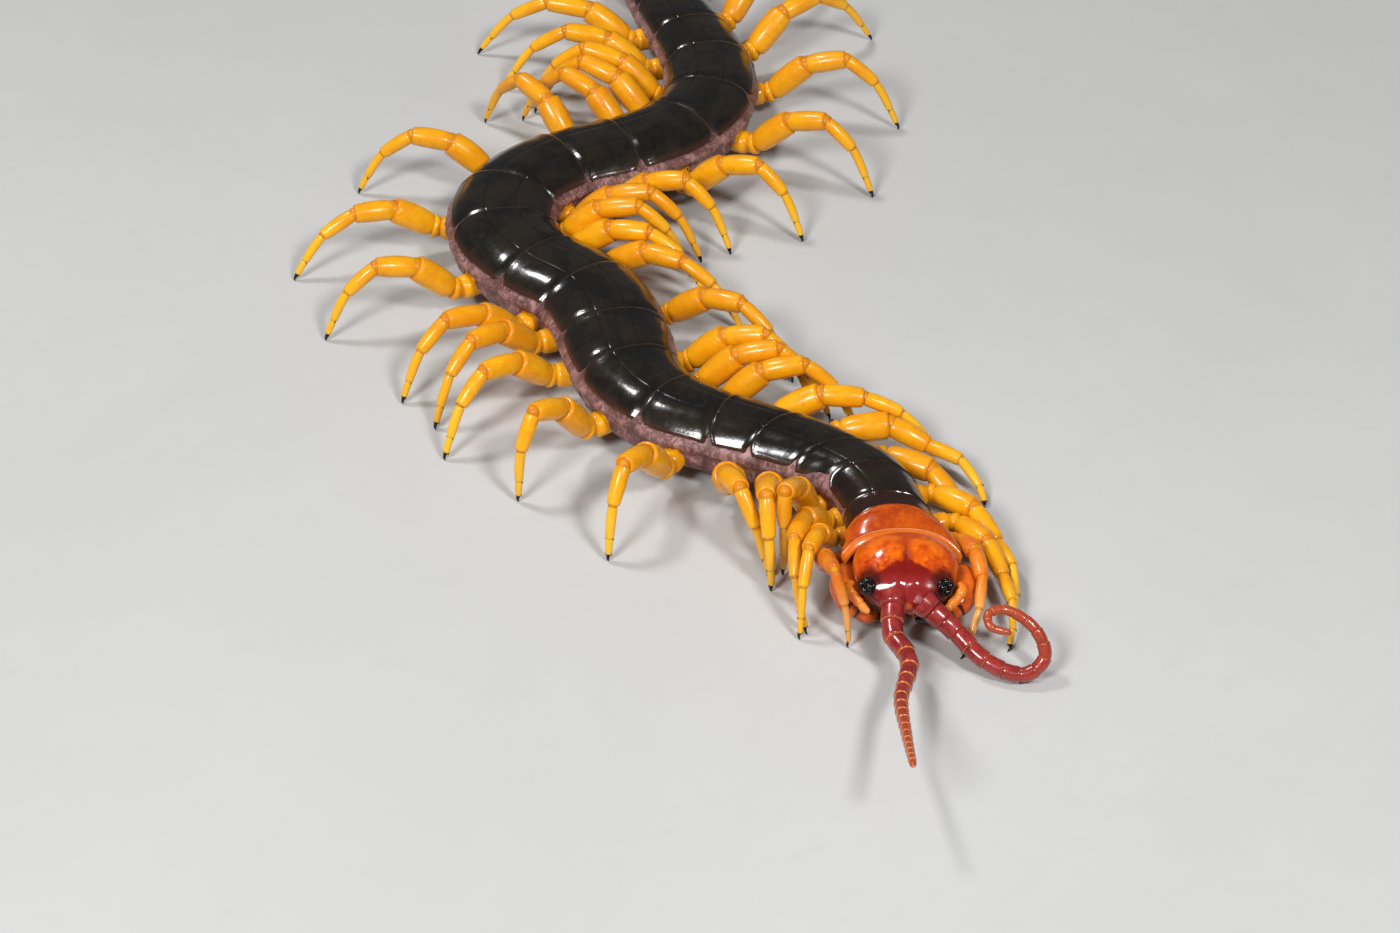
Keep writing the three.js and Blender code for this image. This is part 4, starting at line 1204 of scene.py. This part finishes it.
def make_antenna(side_name):
    """Beads that shrink toward the tip, each set in the one before."""
    route = antenna_path(side_name)
    lengths = np.array(ANTENNA_ARTICLES) / sum(ANTENNA_ARTICLES) * route.length
    ends = np.concatenate([[0], np.cumsum(lengths)])
    shape = Shape()
    t, bead = np.array(ANTENNA_PROFILE).T
    for i, length in enumerate(lengths):
        place = ends[i] + length * t
        size = np.interp(place / route.length, ANTENNA_PLACES, ANTENNA_DIAMETERS) / 2
        last = i == len(lengths) - 1
        scale = np.interp(t, *ANTENNA_TIP) if last else bead
        shape.tube(route(place), size * scale, 18, along=t, reach=place / route.length)
        axis = route(ends[i] + 0.1) - route(max(ends[i] - 0.1, 0))
        shape.ball(route(ends[i]), 0.82 * size[0], axis, 14, 8, 1 if i > 4 else 0, along=0.5)
    shape.make(f"antenna_{side_name}_beads", [ANTENNA, RING], [f"antenna_{side_name}"],
               crease=60)


def route_points(route, side, count):
    """Even points and radii along a route given in the head's own frame."""
    knots = np.array(route)
    place = np.concatenate([[0], np.cumsum(np.linalg.norm(np.diff(knots[:, :3], axis=0), axis=1))])
    fine = through(place, knots, np.linspace(0, place[-1], count))
    return head_point(fine[:, 0], side * fine[:, 1], fine[:, 2]), fine[:, 3] / 2


def make_venom_claw(side_name):
    """A poison claw: swollen base, two narrow rings, dark hooked tip."""
    t = np.linspace(0, 1, 90)
    path, radii = route_points(CLAW_ROUTE, SIDES[side_name], len(t))
    swell = 1 + 0.05 * ridge(t, 0.47, 0.05) - 0.13 * ridge(t, 0.55, 0.012)
    swell = swell - 0.12 * ridge(t, 0.63, 0.010) + 0.03 * ridge(t, 0.59, 0.02)
    swell[:4] = [0.5, 0.8, 0.93, 0.98]
    shape = Shape()
    shape.tube(path, radii * swell, 30, along=t)
    shape.make(f"venom_claw_{side_name}", [FANG], [f"forcipule_{side_name}"],
               crease=60)


def make_palp(side_name):
    """A feeding palp of three articles with a small dark tip."""
    t = np.linspace(0, 1, 44)
    path, radii = route_points(PALP_ROUTE, SIDES[side_name], len(t))
    joints = 1 - 0.16 * ridge(t, 0.36, 0.025) - 0.16 * ridge(t, 0.7, 0.025)
    joints[-3:] = [0.9, 0.7, 0.4]
    shape = Shape()
    shape.tube(path, radii * joints, 20, along=0.4 + 0.2 * t, reach=0.3 + 0.4 * t)
    tip, axis = path[-1], unit(path[-1] - path[-4])
    shape.spine(tip - axis * 0.1, tip + axis * 0.35, 0.12, paint=1)
    shape.make(f"feeding_palp_{side_name}", [ORANGE_LEG, HORN], [f"palp_{side_name}"],
               crease=60)


def make_chin():
    """The broad plate under the head that carries the poison claws, with its two tooth plates."""
    knots, *columns = zip(*CHIN_RINGS)
    forward = knots[0] + (knots[-1] - knots[0]) * np.linspace(0, 1, 40)
    half, top, low = (through(knots, column, forward)[:, None] for column in columns)
    section = through(np.arange(6), [(0, 1), (0.8, 1), (1, 0.6), (0.85, 0.15), (0.5, 0), (0, 0)],
                      np.linspace(0, 5, 16))
    across, high = np.concatenate([section, (section * [-1, 1])[-2:0:-1]]).T
    shape = Shape()
    shape.grid(head_point(forward[:, None] + 0 * across, half * across, low + (top - low) * high),
               along=0.3)
    for side in (-1, 1):
        at = head_point(6.1, 0.95 * side, 2.35)
        ahead = head_point(7.0, 0.95 * side, 2.35) - at
        shape.ball(at, (0.78, 0.5, 0.6), ahead, 18, 10, along=0.3)
        for k in range(4):
            root = head_point(6.4, side * (0.42 + 0.34 * k), 2.35)
            shape.spine(root, root + unit(ahead) * 0.5, 0.17, paint=1, sides=8)
        t = np.linspace(0, 1, 12)
        path, radii = route_points(CLAW_STALK, side, len(t))
        shape.tube(path, radii * np.interp(t, [0, 0.8, 1], [1, 1, 0.8]), 24, along=0.3)
    shape.make("claw_base_plate", [FANG, HORN], crease=60)


# Floor, light and camera
FLOOR_REACH = 3
WORLD_LIGHT = ((0.9, 0.93, 1.0, 1), 0.13)
# Name, place, target, size and watts of each round lamp
LAMPS = [("left lamp", (-0.32, -0.34, 0.42), (0, -0.03, 0), 0.17, 2.5),
         ("right lamp", (0.16, -0.38, 0.44), (0, -0.03, 0), 0.10, 1.9),
         ("high lamp", (-0.25, 0.25, 0.62), (0, 0, 0), 0.12, 1.9)]
CAMERA_PLACE = (-0.06605, -0.34042, 0.2463)
CAMERA_AIM = (-0.00055, -0.03212, 0.0)
CAMERA_LENS, CAMERA_SENSOR = 91.84, 36.0
CAMERA_CLIP = (0.01, 50.0)


def point_at(thing, place, target):
    thing.location = place
    thing.rotation_mode = "QUATERNION"
    aim = Vector(target) - thing.location
    thing.rotation_quaternion = aim.to_track_quat("-Z", "Y")


def make_stage():
    reach = FLOOR_REACH
    mesh = bpy.data.meshes.new("floor")
    mesh.from_pydata([(-reach, -reach, 0), (reach, -reach, 0), (reach, reach, 0),
                      (-reach, reach, 0)], [], [(0, 1, 2, 3)])
    mesh.materials.append(pale_floor())
    link(bpy.data.objects.new("floor", mesh))
    world = bpy.data.worlds.new("studio")
    bpy.context.scene.world = world
    # Plain view, so that the yellow and orange keep their strength
    bpy.context.scene.view_settings.view_transform = "Standard"
    world.use_nodes = True
    light = world.node_tree.nodes["Background"].inputs
    light["Color"].default_value, light["Strength"].default_value = WORLD_LIGHT


def make_lamp(name, place, target, size, power):
    lamp = bpy.data.lights.new(name, "AREA")
    lamp.shape = "DISK"
    lamp.size, lamp.energy = size, power
    point_at(link(bpy.data.objects.new(name, lamp)), place, target)


def make_camera():
    lens = bpy.data.cameras.new("camera")
    lens.lens, lens.sensor_width = CAMERA_LENS, CAMERA_SENSOR
    lens.clip_start, lens.clip_end = CAMERA_CLIP
    camera = link(bpy.data.objects.new("camera", lens))
    point_at(camera, CAMERA_PLACE, CAMERA_AIM)
    bpy.context.scene.camera = camera


make_camera()
make_stage()
for lamp in LAMPS:
    make_lamp(*lamp)
make_trunk()
for index in range(1, SEGMENTS + 1):
    for side_name in SIDES:
        make_leg(side_name, index)
make_head()
make_chin()
for side_name in SIDES:
    make_eyes(side_name)
    make_antenna(side_name)
    make_venom_claw(side_name)
    make_palp(side_name)
